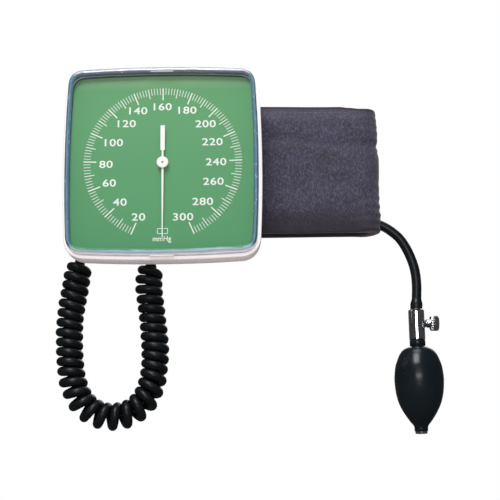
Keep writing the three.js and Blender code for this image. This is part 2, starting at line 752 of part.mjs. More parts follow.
const COIL_ROUTE = [
  [-86.2, HOSE_Y, -84.6],
  [-88.9, HOSE_Y, -108],
  [-92.1, HOSE_Y, -127],
  [-94, HOSE_Y, -146],
  [-93.9, HOSE_Y, -165],
  [-92.8, HOSE_Y, -183],
  [-89.6, HOSE_Y, -203],
  [-80.5, HOSE_Y, -222.5],
  [-66, HOSE_Y, -233.5],
  [-50, HOSE_Y, -236.4],
  [-33.5, HOSE_Y, -232.5],
  [-20.5, HOSE_Y, -221],
  [-13.2, HOSE_Y, -203],
  [-10.6, HOSE_Y, -180],
  [-11.4, HOSE_Y, -160],
  [-14.4, HOSE_Y, -133],
  [-17.2, HOSE_Y, -110],
  [-16.3, HOSE_Y, -88],
];

const GAUGE_TAIL_ROUTE = [
  [ELBOW.x, HOSE_Y, ELBOW.endZ - 0.6],
  [ELBOW.x - 0.1, HOSE_Y, -70.4],
  [-78.2, HOSE_Y, -74.2],
  [-83.2, HOSE_Y, -78.4],
  [-85.6, HOSE_Y, -82],
  [-86, HOSE_Y, -84],
];

const CONNECTOR = { low: -79.7, joint: -63, high: -48 };

const upright = (low, high, radius, sides) =>
  rod([CONNECTOR_X, HOSE_Y, low], [CONNECTOR_X, HOSE_Y, high], radius, sides);

// Each half is a barrel with a grip flange where it meets the other half.
function connectorHalf(low, high, flangeLow) {
  const flangeHeight = 4;
  return upright(low, high, 5.6, 20).add(upright(flangeLow, flangeLow + flangeHeight, 7, 20));
}

const CUFF_TUBE_ROUTE = [
  [CONNECTOR_X, HOSE_Y, CONNECTOR.high + GAP],
  [CONNECTOR_X, HOSE_Y, -41],
  [-14.5, -36.5, -34],
  [-9.5, -38.3, -26.5],
  [-2, -40.1, -22.8],
  [CUFF.left - GAP, -40.7, -22],
];

piece('hose_tail_gauge', hose(GAUGE_TAIL_ROUTE, HOSE_RADIUS, 8, 6), BLACK_HOSE);
piece('coiled_hose', hose(COIL_ROUTE, COIL_RADIUS, 12, 26), BLACK_HOSE);
piece('hose_tail_cuff', upright(-87.1, CONNECTOR.low - GAP, HOSE_RADIUS, 10), BLACK_HOSE);
piece('connector_socket', connectorHalf(CONNECTOR.low, CONNECTOR.joint, CONNECTOR.joint - 4), CHROME);
piece(
  'connector_plug',
  connectorHalf(CONNECTOR.joint + GAP, CONNECTOR.high, CONNECTOR.joint + GAP),
  BLACK_PLASTIC,
);
piece('cuff_tube', hose(CUFF_TUBE_ROUTE, HOSE_RADIUS, 8, 8), BLACK_HOSE);

// ---- folded cuff, its bladder and fastening patches ----------------------------------------

const BULB_TUBE_ROUTE = [
  [202, -32.7, -45.4],
  [213, -32.7, -50.3],
  [221, -33, -55.1],
  [230.5, -33.5, -63.8],
  [237.6, BULB_Y, -75.6],
  [242.9, BULB_Y, -89.6],
  [245.1, BULB_Y, -101.1],
  [245.6, BULB_Y, -112.7],
  [245, BULB_Y, -124.2],
  [BULB_X + 0.3, BULB_Y, VALVE.top + 0.5],
];

// The cuff cloth, folded once: the strip runs right, turns back round the fold and ends behind.
function cuffCloth() {
  const { left, right, low, high, front, back } = CUFF;
  const middle = (front + back) / 2;
  const outerRadius = (back - front) / 2;
  const slotFront = front + CUFF_FRONT_LAYER;
  const slotBack = back - CUFF_BACK_LAYER;
  const strip = new THREE.Shape();
  strip.moveTo(left, front);
  strip.lineTo(right - outerRadius, front);
  strip.absarc(right - outerRadius, middle, outerRadius, -Math.PI / 2, Math.PI / 2);
  strip.lineTo(left, back);
  strip.lineTo(left, slotBack);
  strip.lineTo(right - outerRadius, slotBack);
  strip.lineTo(right - outerRadius, slotFront);
  strip.lineTo(left, slotFront);
  const geometry = new THREE.ExtrudeGeometry(strip, {
    depth: high - low,
    bevelEnabled: false,
    curveSegments: 12,
  });
  geometry.translate(0, 0, low);
  const folded = solid(geometry);

  const face = new THREE.Shape();
  face.moveTo(left - OVER, low);
  face.lineTo(right - 10, low);
  face.lineTo(right, low + 1.8);
  face.lineTo(right, high - 8);
  face.lineTo(right - 2, high - 5.5);
  face.lineTo(95, high - 0.5);
  face.lineTo(left - OVER, high);
  const silhouette = plate(face, 0, 60);

  const pocket = block([left - OVER, front + 2, low + 4], [right - 22, slotFront - 2, high - 6]);
  const from = BULB_TUBE_ROUTE[0];
  const way = BULB_TUBE_ROUTE[1];
  const beyond = [way[0] + (way[0] - from[0]), way[1], way[2] + (way[2] - from[2])];
  const before = [from[0] - 1.5, from[1], from[2] + 0.7];
  const port = rod(before, beyond, BULB_TUBE_RADIUS + 0.7, 16);
  return folded.intersect(silhouette).subtract(pocket).subtract(port);
}

function bladder() {
  const { left, right, low, high, front } = CUFF;
  const shape = roundedRectangle(left + 4, low + 8, right - 26, high - 10, 14);
  const body = plate(shape, front + CUFF_FRONT_LAYER - 3, CUFF_FRONT_LAYER - 6, 4);
  return body.add(rod([left + 1, -40.7, -22], [left + 6, -40.7, -22], 2.6, 12));
}

function loopPatch() {
  const shape = roundedRectangle(100, -50, 186, 54, 4);
  return plate(shape, CUFF.back + GAP + 1.5, 1.5, 3);
}

function hookPatch() {
  const slotBack = CUFF.back - CUFF_BACK_LAYER;
  const shape = roundedRectangle(20, -45, 75, 50, 4);
  return plate(shape, slotBack - GAP, 1.5, 3);
}

piece('cuff_cloth', cuffCloth(), NYLON);
piece('bladder', bladder(), BLADDER_RUBBER);
piece('loop_patch', loopPatch(), PILE);
piece('hook_patch', hookPatch(), PILE);
piece('bulb_tube', hose(BULB_TUBE_ROUTE, BULB_TUBE_RADIUS, 10, 14), BLACK_RUBBER);

// ---- release valve -------------------------------------------------------------------------

const VALVE_BORE = 3;
const STEM = { radius: 1.8, start: 247.5, end: 255 };
const KNOB = { start: 253.6, end: 265.6, radius: 7.2 };

function valveBody() {
  const { top, bottom, radius, screwZ } = VALVE;
  const spigotRadius = 4.4;
  const spigotEnd = bottom - 12;
  const height = (z) => z - top;
  const profile = [
    [0, 0],
    [radius - 0.6, 0],
    [radius, -0.6],
    [radius, height(bottom) + 0.6],
    [radius - 0.6, height(bottom)],
    [spigotRadius, height(bottom)],
    [spigotRadius, height(spigotEnd) + 1],
    [spigotRadius - 0.5, height(spigotEnd)],
    [0, height(spigotEnd)],
  ];
  const body = turned(profile, [BULB_X, BULB_Y, top], [0, 0, 1]);
  const boss = rod([BULB_X + 5, BULB_Y, screwZ], [BULB_X + 9, BULB_Y, screwZ], 4, 20);
  const airway = rod([BULB_X, BULB_Y, top + OVER], [BULB_X, BULB_Y, spigotEnd - OVER], VALVE_BORE, 20);
  const port = rod([BULB_X, BULB_Y, screwZ], [BULB_X + 12, BULB_Y, screwZ], STEM.radius + GAP, 20);
  return body.add(boss).subtract(airway).subtract(port);
}

function releaseStem() {
  const { radius, start, end } = STEM;
  const profile = [[0, 0], [0.5, 0], [radius, 2], [radius, end - start], [0, end - start]];
  return turned(profile, [start, BULB_Y, VALVE.screwZ], [1, 0, 0], 20);
}

function releaseKnob() {
  const { start, end, radius } = KNOB;
  const headLength = 8.6;
  const along = (from, to, reach) =>
    rod([from, BULB_Y, VALVE.screwZ], [to, BULB_Y, VALVE.screwZ], reach, 20);
  const outline = new THREE.Shape();
  const ribs = 20;
  for (let i = 0; i < ribs * 2; i += 1) {
    const angle = (i / (ribs * 2)) * 2 * Math.PI;
    const reach = i % 2 ? radius : radius - 0.6;
    const corner = [reach * Math.cos(angle), reach * Math.sin(angle)];
    if (i === 0) {
      outline.moveTo(...corner);
    } else {
      outline.lineTo(...corner);
    }
  }
  const geometry = new THREE.ExtrudeGeometry(outline, { depth: headLength, bevelEnabled: false });
  geometry.rotateY(Math.PI / 2);
  geometry.translate(end - headLength, BULB_Y, VALVE.screwZ);
  const neck = along(start, end - headLength + 1, 4.2);
  const socket = along(start - OVER, STEM.end + GAP, STEM.radius + GAP);
  return solid(geometry).add(neck).subtract(socket);
}

const VALVE_DISC_THICK = 0.8;

const valveDisc = (z, radius) =>
  rod([BULB_X, BULB_Y, z], [BULB_X, BULB_Y, z + VALVE_DISC_THICK], radius, 16);

piece('valve_body', valveBody(), CHROME);
piece('release_stem', releaseStem(), STEEL);
piece('release_knob', releaseKnob(), CHROME);
piece('outlet_valve_disc', valveDisc(-172, VALVE_BORE - 0.4), BLACK_RUBBER);

// ---- hand bulb and its intake valve --------------------------------------------------------

const BULB_BODY_TOP = -172;
const BULB_PROFILE = [
  [7, BULB_BODY_TOP],
  [14.2, -175.4],
  [20.4, -185.5],
  [23.3, -198],
  [23.6, -208],
  [21.7, -222.2],
  [16.6, -234.4],
  [9.6, -245.2],
  [6.6, -249.6],
];

function bulb() {
  const { top, bottom, neck, wall } = BULB;
  const curve = new THREE.SplineCurve(BULB_PROFILE.map(([r, z]) => new THREE.Vector2(r, z)));
  const skin = curve.getPoints(10).map((p) => [p.x, p.y]);
  const lowestSkin = BULB_PROFILE.at(-1)[0];
  const neckHole = 4.8;
  const endHole = 4;
  const cavityTop = BULB_BODY_TOP - wall;
  const outside = [
    [0, top],
    [neck, top],
    [neck, BULB_BODY_TOP + 1],
    ...skin,
    [lowestSkin, bottom],
    [0, bottom],
  ];
  const cavity = skin.map(([r, z]) => [r - wall, z]);
  const inside = [
    [0, top + OVER],
    [neckHole, top + OVER],
    [neckHole, cavityTop],
    ...cavity.filter(([r, z]) => r > neckHole && z < cavityTop),
    [endHole, bottom + 7.5],
    [endHole, bottom - OVER],
    [0, bottom - OVER],
  ];
  const origin = [BULB_X, BULB_Y, 0];
  const up = [0, 0, 1];
  return turned(outside, origin, up, 20).subtract(turned(inside, origin, up, 20));
}

function intakeValve() {
  const { bottom } = BULB;
  const profile = [
    [0, 0],
    [5.4, 0],
    [5.8, 0.5],
    [5.8, 1.7],
    [3.7, 1.7],
    [3.7, 9],
    [0, 9],
  ];
  const body = turned(profile, [BULB_X, BULB_Y, bottom - 2], [0, 0, 1], 24);
  return body.subtract(rod([BULB_X, BULB_Y, bottom - 5], [BULB_X, BULB_Y, bottom + 12], 1.3, 12));
}

piece('bulb', bulb(), BLACK_RUBBER);
piece('intake_valve', intakeValve(), CHROME);
piece('intake_valve_disc', valveDisc(BULB.bottom + 7.3, 3), BLACK_RUBBER);

export default model;
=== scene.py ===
import math

import bmesh
import bpy
from mathutils import Matrix, Vector, noise
from mathutils.bvhtree import BVHTree


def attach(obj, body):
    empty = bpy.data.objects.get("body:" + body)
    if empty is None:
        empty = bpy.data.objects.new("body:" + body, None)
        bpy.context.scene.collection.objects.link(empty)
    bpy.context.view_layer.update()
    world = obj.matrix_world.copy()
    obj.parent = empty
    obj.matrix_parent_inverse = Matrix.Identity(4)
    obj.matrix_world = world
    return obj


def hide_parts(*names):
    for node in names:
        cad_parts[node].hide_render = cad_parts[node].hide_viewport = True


# A wall aneroid sphygmomanometer in metres, in the part's own frame: the wall is the plane Y = 0,
# the dial faces -Y, and +X is to the right of the person who reads it.
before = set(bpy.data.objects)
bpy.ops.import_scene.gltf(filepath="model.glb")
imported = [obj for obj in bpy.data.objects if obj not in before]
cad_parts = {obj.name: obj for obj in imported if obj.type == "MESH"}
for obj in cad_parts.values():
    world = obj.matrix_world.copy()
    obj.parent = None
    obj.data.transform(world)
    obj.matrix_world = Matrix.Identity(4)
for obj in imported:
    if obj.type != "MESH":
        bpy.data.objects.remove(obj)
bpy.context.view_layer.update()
scene = bpy.context.scene
MM = 0.001

# ---- Camera, floor and light -----------------------------------------------------------------
# A long lens a little below the gauge, looking up at it. A pale floor lies well below. The light is
# a large soft lamp up on the left, a low strip in front, weaker lamps around and a pale surround.

LENS = 86.4
SENSOR = 36
EYE = Vector((0.0861, -1.1901, -0.3433))
rise, swing, roll = (math.radians(angle) for angle in (13.12, 0.18, -0.72))
forward = Vector((-math.sin(swing) * math.cos(rise), math.cos(swing) * math.cos(rise), math.sin(rise)))
level = forward.cross(Vector((0, 0, 1))).normalized()
above = level.cross(forward)
side = level * math.cos(roll) + above * math.sin(roll)
top = above * math.cos(roll) - level * math.sin(roll)
lens = bpy.data.cameras.new("camera")
lens.sensor_width = SENSOR
lens.lens = LENS
camera = bpy.data.objects.new("camera", lens)
camera.matrix_world = Matrix.Translation(EYE) @ Matrix((side, top, -forward)).transposed().to_4x4()
scene.collection.objects.link(camera)
scene.camera = camera
scene.view_settings.view_transform = "Standard"


def lamp(name, place, aim, wide, tall, power):
    light = bpy.data.lights.new(name, "AREA")
    light.shape = "RECTANGLE"
    light.size = wide
    light.size_y = tall
    light.energy = power
    holder = bpy.data.objects.new(name, light)
    holder.location = place
    holder.rotation_euler = (Vector(aim) - Vector(place)).to_track_quat("-Z", "Y").to_euler()
    scene.collection.objects.link(holder)


lamp("key_light", (-0.25, -1.35, 1.35), (0.05, -0.05, 0.0), 0.8, 0.8, 25)
lamp("front_light", (0.0, -1.9, 0.1), (0.05, -0.05, 0.0), 0.75, 0.24, 7)
lamp("top_light", (0.1, -0.35, 1.1), (0.05, -0.06, 0.0), 0.6, 0.6, 5)
lamp("back_light", (0.5, 1.1, 0.7), (0.0, 0.0, 0.0), 0.9, 0.9, 6)

world = bpy.data.worlds.new("surround")
world.use_nodes = True
scene.world = world
surround = world.node_tree.nodes["Background"]
surround.inputs["Color"].default_value = (1, 1, 1, 1)
path = world.node_tree.nodes.new("ShaderNodeLightPath")
SOFT_LIGHT = 0.42
MIRRORED_LIGHT = 0.06
strength = SOFT_LIGHT
for ray, share in (("Is Camera Ray", 1), ("Is Glossy Ray", MIRRORED_LIGHT)):
    step = world.node_tree.nodes.new("ShaderNodeMath")
    step.operation = "MULTIPLY_ADD"
    step.inputs[1].default_value = share - SOFT_LIGHT
    world.node_tree.links.new(path.outputs[ray], step.inputs[0])
    if isinstance(strength, float):
        step.inputs[2].default_value = strength
    else:
        world.node_tree.links.new(strength, step.inputs[2])
    strength = step.outputs["Value"]
world.node_tree.links.new(strength, surround.inputs["Strength"])


def rgb(red, green, blue):
    """A screen colour from 0 to 255 as the linear colour that shaders take."""
    parts = [c / 255 for c in (red, green, blue)]
    return tuple(c / 12.92 if c <= 0.04045 else ((c + 0.055) / 1.055) ** 2.4 for c in parts) + (1,)


def noise_node(tree, vector, scale, detail=2):
    node = tree.nodes.new("ShaderNodeTexNoise")
    node.inputs["Scale"].default_value = scale
    node.inputs["Detail"].default_value = detail
    tree.links.new(vector, node.inputs["Vector"])
    return node.outputs["Fac"]


def ranged(tree, value, low, high, start=0.3, end=0.7):
    """Maps a socket's start..end to low..high."""
    node = tree.nodes.new("ShaderNodeMapRange")
    for name, number in (("From Min", start), ("From Max", end), ("To Min", low), ("To Max", high)):
        node.inputs[name].default_value = number
    tree.links.new(value, node.inputs["Value"])
    return node.outputs["Result"]


def blended(tree, factor, first, second):
    """Mixes two colours, each a socket or a plain colour, by a socket."""
    node = tree.nodes.new("ShaderNodeMix")
    node.data_type = "RGBA"
    tree.links.new(factor, node.inputs[0])
    for index, colour in ((6, first), (7, second)):
        if isinstance(colour, bpy.types.NodeSocket):
            tree.links.new(colour, node.inputs[index])
        else:
            node.inputs[index].default_value = colour
    return node.outputs[2]


def bumped(tree, height, depth, strength=1.0):
    """Feeds a height into the shader's normal, depth in metres."""
    node = tree.nodes.new("ShaderNodeBump")
    node.inputs["Strength"].default_value = strength
    node.inputs["Distance"].default_value = depth
    tree.links.new(height, node.inputs["Height"])
    shader = tree.nodes["Principled BSDF"]
    tree.links.new(node.outputs["Normal"], shader.inputs["Normal"])


def finish(name, first, second, gloss, metallic=0.0, patch=40, grain=900, depth=0.00002, **sockets):
    """A finish whose colour drifts between two tones in slow patches, with a fine grain in its gloss."""
    material = bpy.data.materials.new(name)
    material.use_nodes = True
    tree = material.node_tree
    shader = tree.nodes["Principled BSDF"]
    shader.inputs["Metallic"].default_value = metallic
    for socket, value in sockets.items():
        shader.inputs[socket.replace("_", " ")].default_value = value
    place = tree.nodes.new("ShaderNodeTexCoord").outputs["Object"]
    slow = noise_node(tree, place, patch)
    fine = noise_node(tree, place, grain)
    tree.links.new(blended(tree, ranged(tree, slow, 0, 1), first, second), shader.inputs["Base Color"])
    tree.links.new(ranged(tree, fine, *gloss), shader.inputs["Roughness"])
    bumped(tree, fine, depth)
    return material


def settle(name, bm, *materials, crease=35, flat_over=0.001):
    """Turns a finished bmesh into an object at the origin, smooth except at its sharp edges and on
    faces larger than flat_over, in square metres."""
    mesh = bpy.data.meshes.new(name)
    bm.to_mesh(mesh)
    bm.free()
    for material in materials:
        mesh.materials.append(material)
    mesh.shade_smooth()
    mesh.set_sharp_from_angle(angle=math.radians(crease))
    for face in mesh.polygons:
        face.use_smooth = face.area < flat_over
    piece = bpy.data.objects.new(name, mesh)
    scene.collection.objects.link(piece)
    return piece


FLOOR_Z = -0.45
bm = bmesh.new()
bmesh.ops.create_grid(bm, x_segments=1, y_segments=1, size=3)
bmesh.ops.translate(bm, verts=bm.verts, vec=(0, 0, FLOOR_Z))
floor_paint = finish(
    "floor_paint", rgb(216, 207, 204), rgb(211, 202, 199), (0.7, 0.85), patch=3, grain=60,
)
floor = settle("floor", bm, floor_paint)
floor.visible_glossy = False

# ---- Hoses -------------------------------------------------------------------------------------
# Black rubber tube of 9 mm. The gauge's hose is a coil 27 mm over its turns that hangs in a U from
# the elbow to the connector. The bulb's tube is plain, and stretches over the valve's barb.

HOSE_DIAMETER = 0.009
BULB_TUBE_DIAMETER = 0.0094
HOSE_Y = -35.7


def metres(points):
    return [Vector(point) * MM for point in points]


def smooth_line(points, steps):
    """A smooth curve through the points, with that many steps between each two."""
    ends = [2 * points[0] - points[1], *points, 2 * points[-1] - points[-2]]
    line = []
    for a, b, c, d in zip(ends, ends[1:], ends[2:], ends[3:]):
        for i in range(steps):
            t = i / steps
            bend = (2 * a - 5 * b + 4 * c - d) * t**2 + (3 * b - a - 3 * c + d) * t**3
            line.append(0.5 * (2 * b + (c - a) * t + bend))
    line.append(points[-1].copy())
    return line


def hose(name, line, diameter, material, swell=None):
    """A round tube along a line, as a curve. swell gives each point's share of the full radius."""
    curve = bpy.data.curves.new(name, "CURVE")
    curve.dimensions = "3D"
    curve.bevel_depth = diameter / 2
    curve.bevel_resolution = 5
    curve.use_fill_caps = True
    spline = curve.splines.new("POLY")
    spline.points.add(len(line) - 1)
    for i, (knot, point) in enumerate(zip(spline.points, line)):
        knot.co = (*point, 1)
        knot.radius = swell[i] if swell else 1
    spline.use_smooth = True
    curve.materials.append(material)
    piece = bpy.data.objects.new(name, curve)
    scene.collection.objects.link(piece)
    return piece


hose_rubber = finish(
    "hose_rubber", rgb(11, 16, 19), rgb(17, 22, 26), (0.3, 0.42), patch=90, grain=1500, depth=0.00003,
    Specular_IOR_Level=0.3,
)

COIL_ROUTE = [(-86.2, -84.6), (-88.9, -108), (-92.1, -127), (-94, -146), (-93.9, -165), (-92.8, -183)]
COIL_ROUTE += [(-89.6, -203), (-80.5, -222.5), (-66, -233.5), (-50, -236.4), (-33.5, -232.5)]
COIL_ROUTE += [(-20.5, -221), (-13.2, -203), (-10.6, -180), (-11.4, -160), (-14.4, -133)]
COIL_ROUTE += [(-17.2, -110), (-16.3, -88)]
GAUGE_TAIL_ROUTE = [(-76, -68.6), (-76.1, -70.4), (-78.2, -74.2), (-83.2, -78.4), (-85.6, -82)]
CUFF_TAIL_ROUTE = [(-16.1, -86), (-16, -83), (-16, -80)]
TURN_RADIUS = 0.009
LEG_PITCH = 0.0093
SAG_PITCH = 0.0119
SAG_TOP = -0.185
SAG_BOTTOM = -0.225
LEAD_IN = 0.009


def in_hose_plane(route):
    return metres([(x, HOSE_Y, z) for x, z in route])


def coil(route):
    """A left-handed helix round the route that opens out where the hose sags, with its ends drawn in."""
    middle = smooth_line(in_hose_plane(route), 64)
    run = [0]
    for here, after in zip(middle, middle[1:]):
        run.append(run[-1] + (after - here).length)
    towards = Vector((0, -1, 0))
    angle = 0
    turns = []
    for i, point in enumerate(middle):
        before, after = middle[max(i - 1, 0)], middle[min(i + 1, len(middle) - 1)]
        across = towards.cross((after - before).normalized())
        sag = min(max((SAG_TOP - point.z) / (SAG_TOP - SAG_BOTTOM), 0), 1)
        pitch = LEG_PITCH + (SAG_PITCH - LEG_PITCH) * sag
        if i:
            angle += 2 * math.pi * (run[i] - run[i - 1]) / pitch
        drawn_in = min(run[i], run[-1] - run[i], LEAD_IN) / LEAD_IN
        drift = 0.0004 * noise.noise(point * 60)
        radius = (TURN_RADIUS + drift) * math.sin(drawn_in * math.pi / 2)
        turns.append(point + radius * (math.cos(angle) * across - math.sin(angle) * towards))
    return turns


gauge_tail = smooth_line(in_hose_plane(GAUGE_TAIL_ROUTE), 4)
cuff_tail = in_hose_plane(CUFF_TAIL_ROUTE)
hose_line = gauge_tail + coil(COIL_ROUTE) + cuff_tail
coiled_hose = hose("coiled_hose_rubber", hose_line, HOSE_DIAMETER, hose_rubber)
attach(coiled_hose, "housing")
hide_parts("hose_tail_gauge", "coiled_hose", "hose_tail_cuff")

BULB_Y = -33.7
BULB_TUBE_ROUTE = [(202, -32.7, -45.4), (213, -32.7, -50.3), (221, -33, -55.1), (230.5, -33.5, -63.8)]
BULB_TUBE_ROUTE += [(237.6, BULB_Y, -75.6), (242.9, BULB_Y, -89.6), (245.1, BULB_Y, -101.1)]
BULB_TUBE_ROUTE += [(245.6, BULB_Y, -112.7), (245, BULB_Y, -124.2), (244.3, BULB_Y, -135.1)]
BARB_TOP = -0.1245
BARB_SLOPE = 0.006
BARB_SWELL = 0.27
bulb_line = smooth_line(metres(BULB_TUBE_ROUTE), 10)
swelling = []
for point in bulb_line:
    rise_over_barb = min(max((BARB_TOP - point.z) / BARB_SLOPE, 0), 1)
    swelling.append(1 + BARB_SWELL * rise_over_barb**2 * (3 - 2 * rise_over_barb))
bulb_tube = hose("bulb_tube_rubber", bulb_line, BULB_TUBE_DIAMETER, hose_rubber, swelling)
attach(bulb_tube, "housing")
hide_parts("bulb_tube")

CUFF_TUBE_ROUTE = [(-16, HOSE_Y, -47.7), (-16, HOSE_Y, -41), (-14.5, -36.5, -34), (-9.5, -38.3, -26.5)]
CUFF_TUBE_ROUTE += [(-2, -40.1, -22.8), (7.7, -40.7, -22), (15, -40.8, -21.9), (22, -40.8, -21.8)]
cuff_tube = hose("cuff_tube_rubber", smooth_line(metres(CUFF_TUBE_ROUTE), 10), HOSE_DIAMETER, hose_rubber)
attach(cuff_tube, "housing")
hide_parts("cuff_tube")

# ---- Inlet elbow and hose connector --------------------------------------------------------------
# A chromed bent pipe with a hexagon flange screws through the case's back. The connector under the
# basket is a chromed socket and a black acetal plug, each with a knurled grip ring.

chrome = finish(
    "chrome_plate", rgb(226, 228, 231), rgb(205, 208, 214), (0.05, 0.12), metallic=1.0, patch=60,
    grain=1200, depth=0.000004,
)
bright_steel = finish(
    "bright_steel", rgb(190, 192, 196), rgb(168, 170, 175), (0.22, 0.36), metallic=1.0, grain=2500,
)
black_acetal = finish("black_acetal", rgb(28, 30, 33), rgb(38, 40, 44), (0.32, 0.45))


def turned(profile, base, axis, steps=48):
    """A bmesh turned from its half section: pairs of radius and height along axis, in millimetres."""
    bm = bmesh.new()
    knots = [bm.verts.new((radius * MM, 0, height * MM)) for radius, height in profile]
    edges = [bm.edges.new(pair) for pair in zip(knots, knots[1:])]
    bmesh.ops.spin(
        bm, geom=knots + edges, cent=(0, 0, 0), axis=(0, 0, 1), angle=2 * math.pi, steps=steps,
        use_merge=True,
    )
    bmesh.ops.remove_doubles(bm, verts=bm.verts, dist=1e-6)
    bmesh.ops.recalc_face_normals(bm, faces=bm.faces)
    turn = Vector((0, 0, 1)).rotation_difference(Vector(axis)).to_matrix().to_4x4()
    bmesh.ops.transform(bm, matrix=Matrix.Translation(Vector(base) * MM) @ turn, verts=bm.verts)
    return bm


def joined(*parts):
    """One bmesh from several."""
    whole = bmesh.new()
    for part in parts:
        mesh = bpy.data.meshes.new("part")
        part.to_mesh(mesh)
        part.free()
        whole.from_mesh(mesh)
        bpy.data.meshes.remove(mesh)
    return whole


def bevelled(bm, width, segments=2, steepest=30):
    """Rounds every edge that turns by more than the angle, width in millimetres."""
    limit = math.radians(steepest)
    sharp = [e for e in bm.edges if len(e.link_faces) == 2 and e.calc_face_angle(0) > limit]
    bmesh.ops.bevel(
        bm, geom=sharp, offset=width * MM, affect="EDGES", segments=segments, profile=0.5,
        material=-1, clamp_overlap=True,
    )
    return bm


def prism(sides, radius, base, axis, height, edge=0.3, spin=0.0):
    """A bar with a regular outline, standing on its base along axis, with rounded edges."""
    bm = bmesh.new()
    bmesh.ops.create_circle(bm, cap_ends=True, radius=radius * MM, segments=sides)
    bmesh.ops.rotate(bm, verts=bm.verts, cent=(0, 0, 0), matrix=Matrix.Rotation(spin, 3, "Z"))
    lifted = bmesh.ops.extrude_face_region(bm, geom=bm.faces[:])["geom"]
    moved = [item for item in lifted if isinstance(item, bmesh.types.BMVert)]
    bmesh.ops.translate(bm, verts=moved, vec=(0, 0, height * MM))
    bmesh.ops.recalc_face_normals(bm, faces=bm.faces)
    bevelled(bm, edge)
    turn = Vector((0, 0, 1)).rotation_difference(Vector(axis)).to_matrix().to_4x4()
    bmesh.ops.transform(bm, matrix=Matrix.Translation(Vector(base) * MM) @ turn, verts=bm.verts)
    return bm


ELBOW_DIAMETER = 0.006
ELBOW_X = -76
ELBOW_ROUTE = [(ELBOW_X, -60, -52), (ELBOW_X, -50, -52), (ELBOW_X, -45.7, -52), (ELBOW_X, -37.7, -54)]
ELBOW_ROUTE += [(ELBOW_X, HOSE_Y, -58), (ELBOW_X, HOSE_Y, -68)]
FLANGE_RADIUS = 6.5
elbow_pipe = hose("inlet_elbow_pipe", smooth_line(metres(ELBOW_ROUTE), 8), ELBOW_DIAMETER, chrome)
flange = prism(6, FLANGE_RADIUS, (ELBOW_X, -49.7, -52), (0, 1, 0), 2.7)
elbow_flange = settle("inlet_elbow_flange", flange, chrome)
for piece in (elbow_pipe, elbow_flange):
    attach(piece, "housing")
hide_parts("inlet_elbow")


CONNECTOR_X = -16
GRIP_RIBS = 24
GRIP_RIB_CIRCLE = 6.35


def connector_half(name, low, high, ring_low, material, node):
    """A barrel with rounded ends and a knurled ring where it meets the other half."""
    length = high - low
    barrel = [(0, 0), (4.9, 0), (5.6, 0.7), (5.6, length - 0.5), (5.1, length), (0, length)]
    parts = [turned(barrel, (CONNECTOR_X, HOSE_Y, low), (0, 0, 1))]
    for i in range(GRIP_RIBS):
        angle = 2 * math.pi * i / GRIP_RIBS
        x = CONNECTOR_X + GRIP_RIB_CIRCLE * math.cos(angle)
        y = HOSE_Y + GRIP_RIB_CIRCLE * math.sin(angle)
        parts.append(prism(8, 0.62, (x, y, ring_low), (0, 0, 1), 4, edge=0.15))
    ring = [(0, 0), (6.2, 0), (6.5, 0.3), (6.5, 3.7), (6.2, 4), (0, 4)]
    parts.append(turned(ring, (CONNECTOR_X, HOSE_Y, ring_low), (0, 0, 1)))
    piece = settle(name, joined(*parts), material)
    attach(piece, "housing")
    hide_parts(node)
    return piece


socket_metal = connector_half("connector_socket_metal", -79.7, -63, -67, chrome, "connector_socket")
plug_acetal = connector_half("connector_plug_acetal", -62.7, -48, -62.7, black_acetal, "connector_plug")

# ---- Rear case -----------------------------------------------------------------------------------
# A deep square tray moulded in white ABS, with bowed sides, a big round back edge, and two
# tongues that snap into the cover at the top and bottom. Posts inside carry the movement.

SIDE_CROWN = 2
CORNER_PULL = 0.55
SMALLEST_CORNER = 3
CASE_HALF = 95.5
CASE_CORNER = 21.5
CASE_BACK_Y = -50
CASE_FRONT_Y = -91.7
DIAL_LEDGE_Y = -86


def square_loop(bm, half, corner, depth, band=0.0, side_steps=10, corner_steps=10):
    """Adds the square outline with bowed sides at depth Y and returns its edges.
    Each point keeps its share of the way across the wall, its run round the outline and which
    way it faces up or down, for materials that follow the wall."""
    across = bm.verts.layers.float.get("across") or bm.verts.layers.float.new("across")
    along = bm.verts.layers.float.get("along") or bm.verts.layers.float.new("along")
    facing = bm.verts.layers.float.get("facing") or bm.verts.layers.float.new("facing")
    end, flat = half - corner, half - SIDE_CROWN
    pull = corner * CORNER_PULL
    slope = 2 * SIDE_CROWN / end
    start, crown, stop = Vector((-end, flat)), Vector((0, half + SIDE_CROWN)), Vector((end, flat))
    turn_out = Vector((end + pull, flat - pull * slope))
    turn_in = Vector((flat - pull * slope, end + pull))
    done = Vector((flat, end))
    quarter = []
    for i in range(side_steps):
        t = i / side_steps
        quarter.append((1 - t) ** 2 * start + 2 * t * (1 - t) * crown + t**2 * stop)
    for i in range(corner_steps):
        t = i / corner_steps
        cubic = (1 - t) ** 3 * stop + 3 * t * (1 - t) ** 2 * turn_out
        quarter.append(cubic + 3 * t**2 * (1 - t) * turn_in + t**3 * done)
    loop = []
    for turn in range(4):
        for point in quarter:
            x, z = point
            for _ in range(turn):
                x, z = z, -x
            loop.append((x, z))
    verts, run = [], 0
    for i, (x, z) in enumerate(loop):
        vert = bm.verts.new((x * MM, depth * MM, z * MM))
        after, before = Vector(loop[(i + 1) % len(loop)]), Vector(loop[i - 1])
        tangent = (after - before).normalized()
        run += (after - Vector((x, z))).length
        vert[across] = band
        vert[along] = run
        vert[facing] = tangent.x
        verts.append(vert)
    return [bm.edges.new(pair) for pair in zip(verts, verts[1:] + verts[:1])]


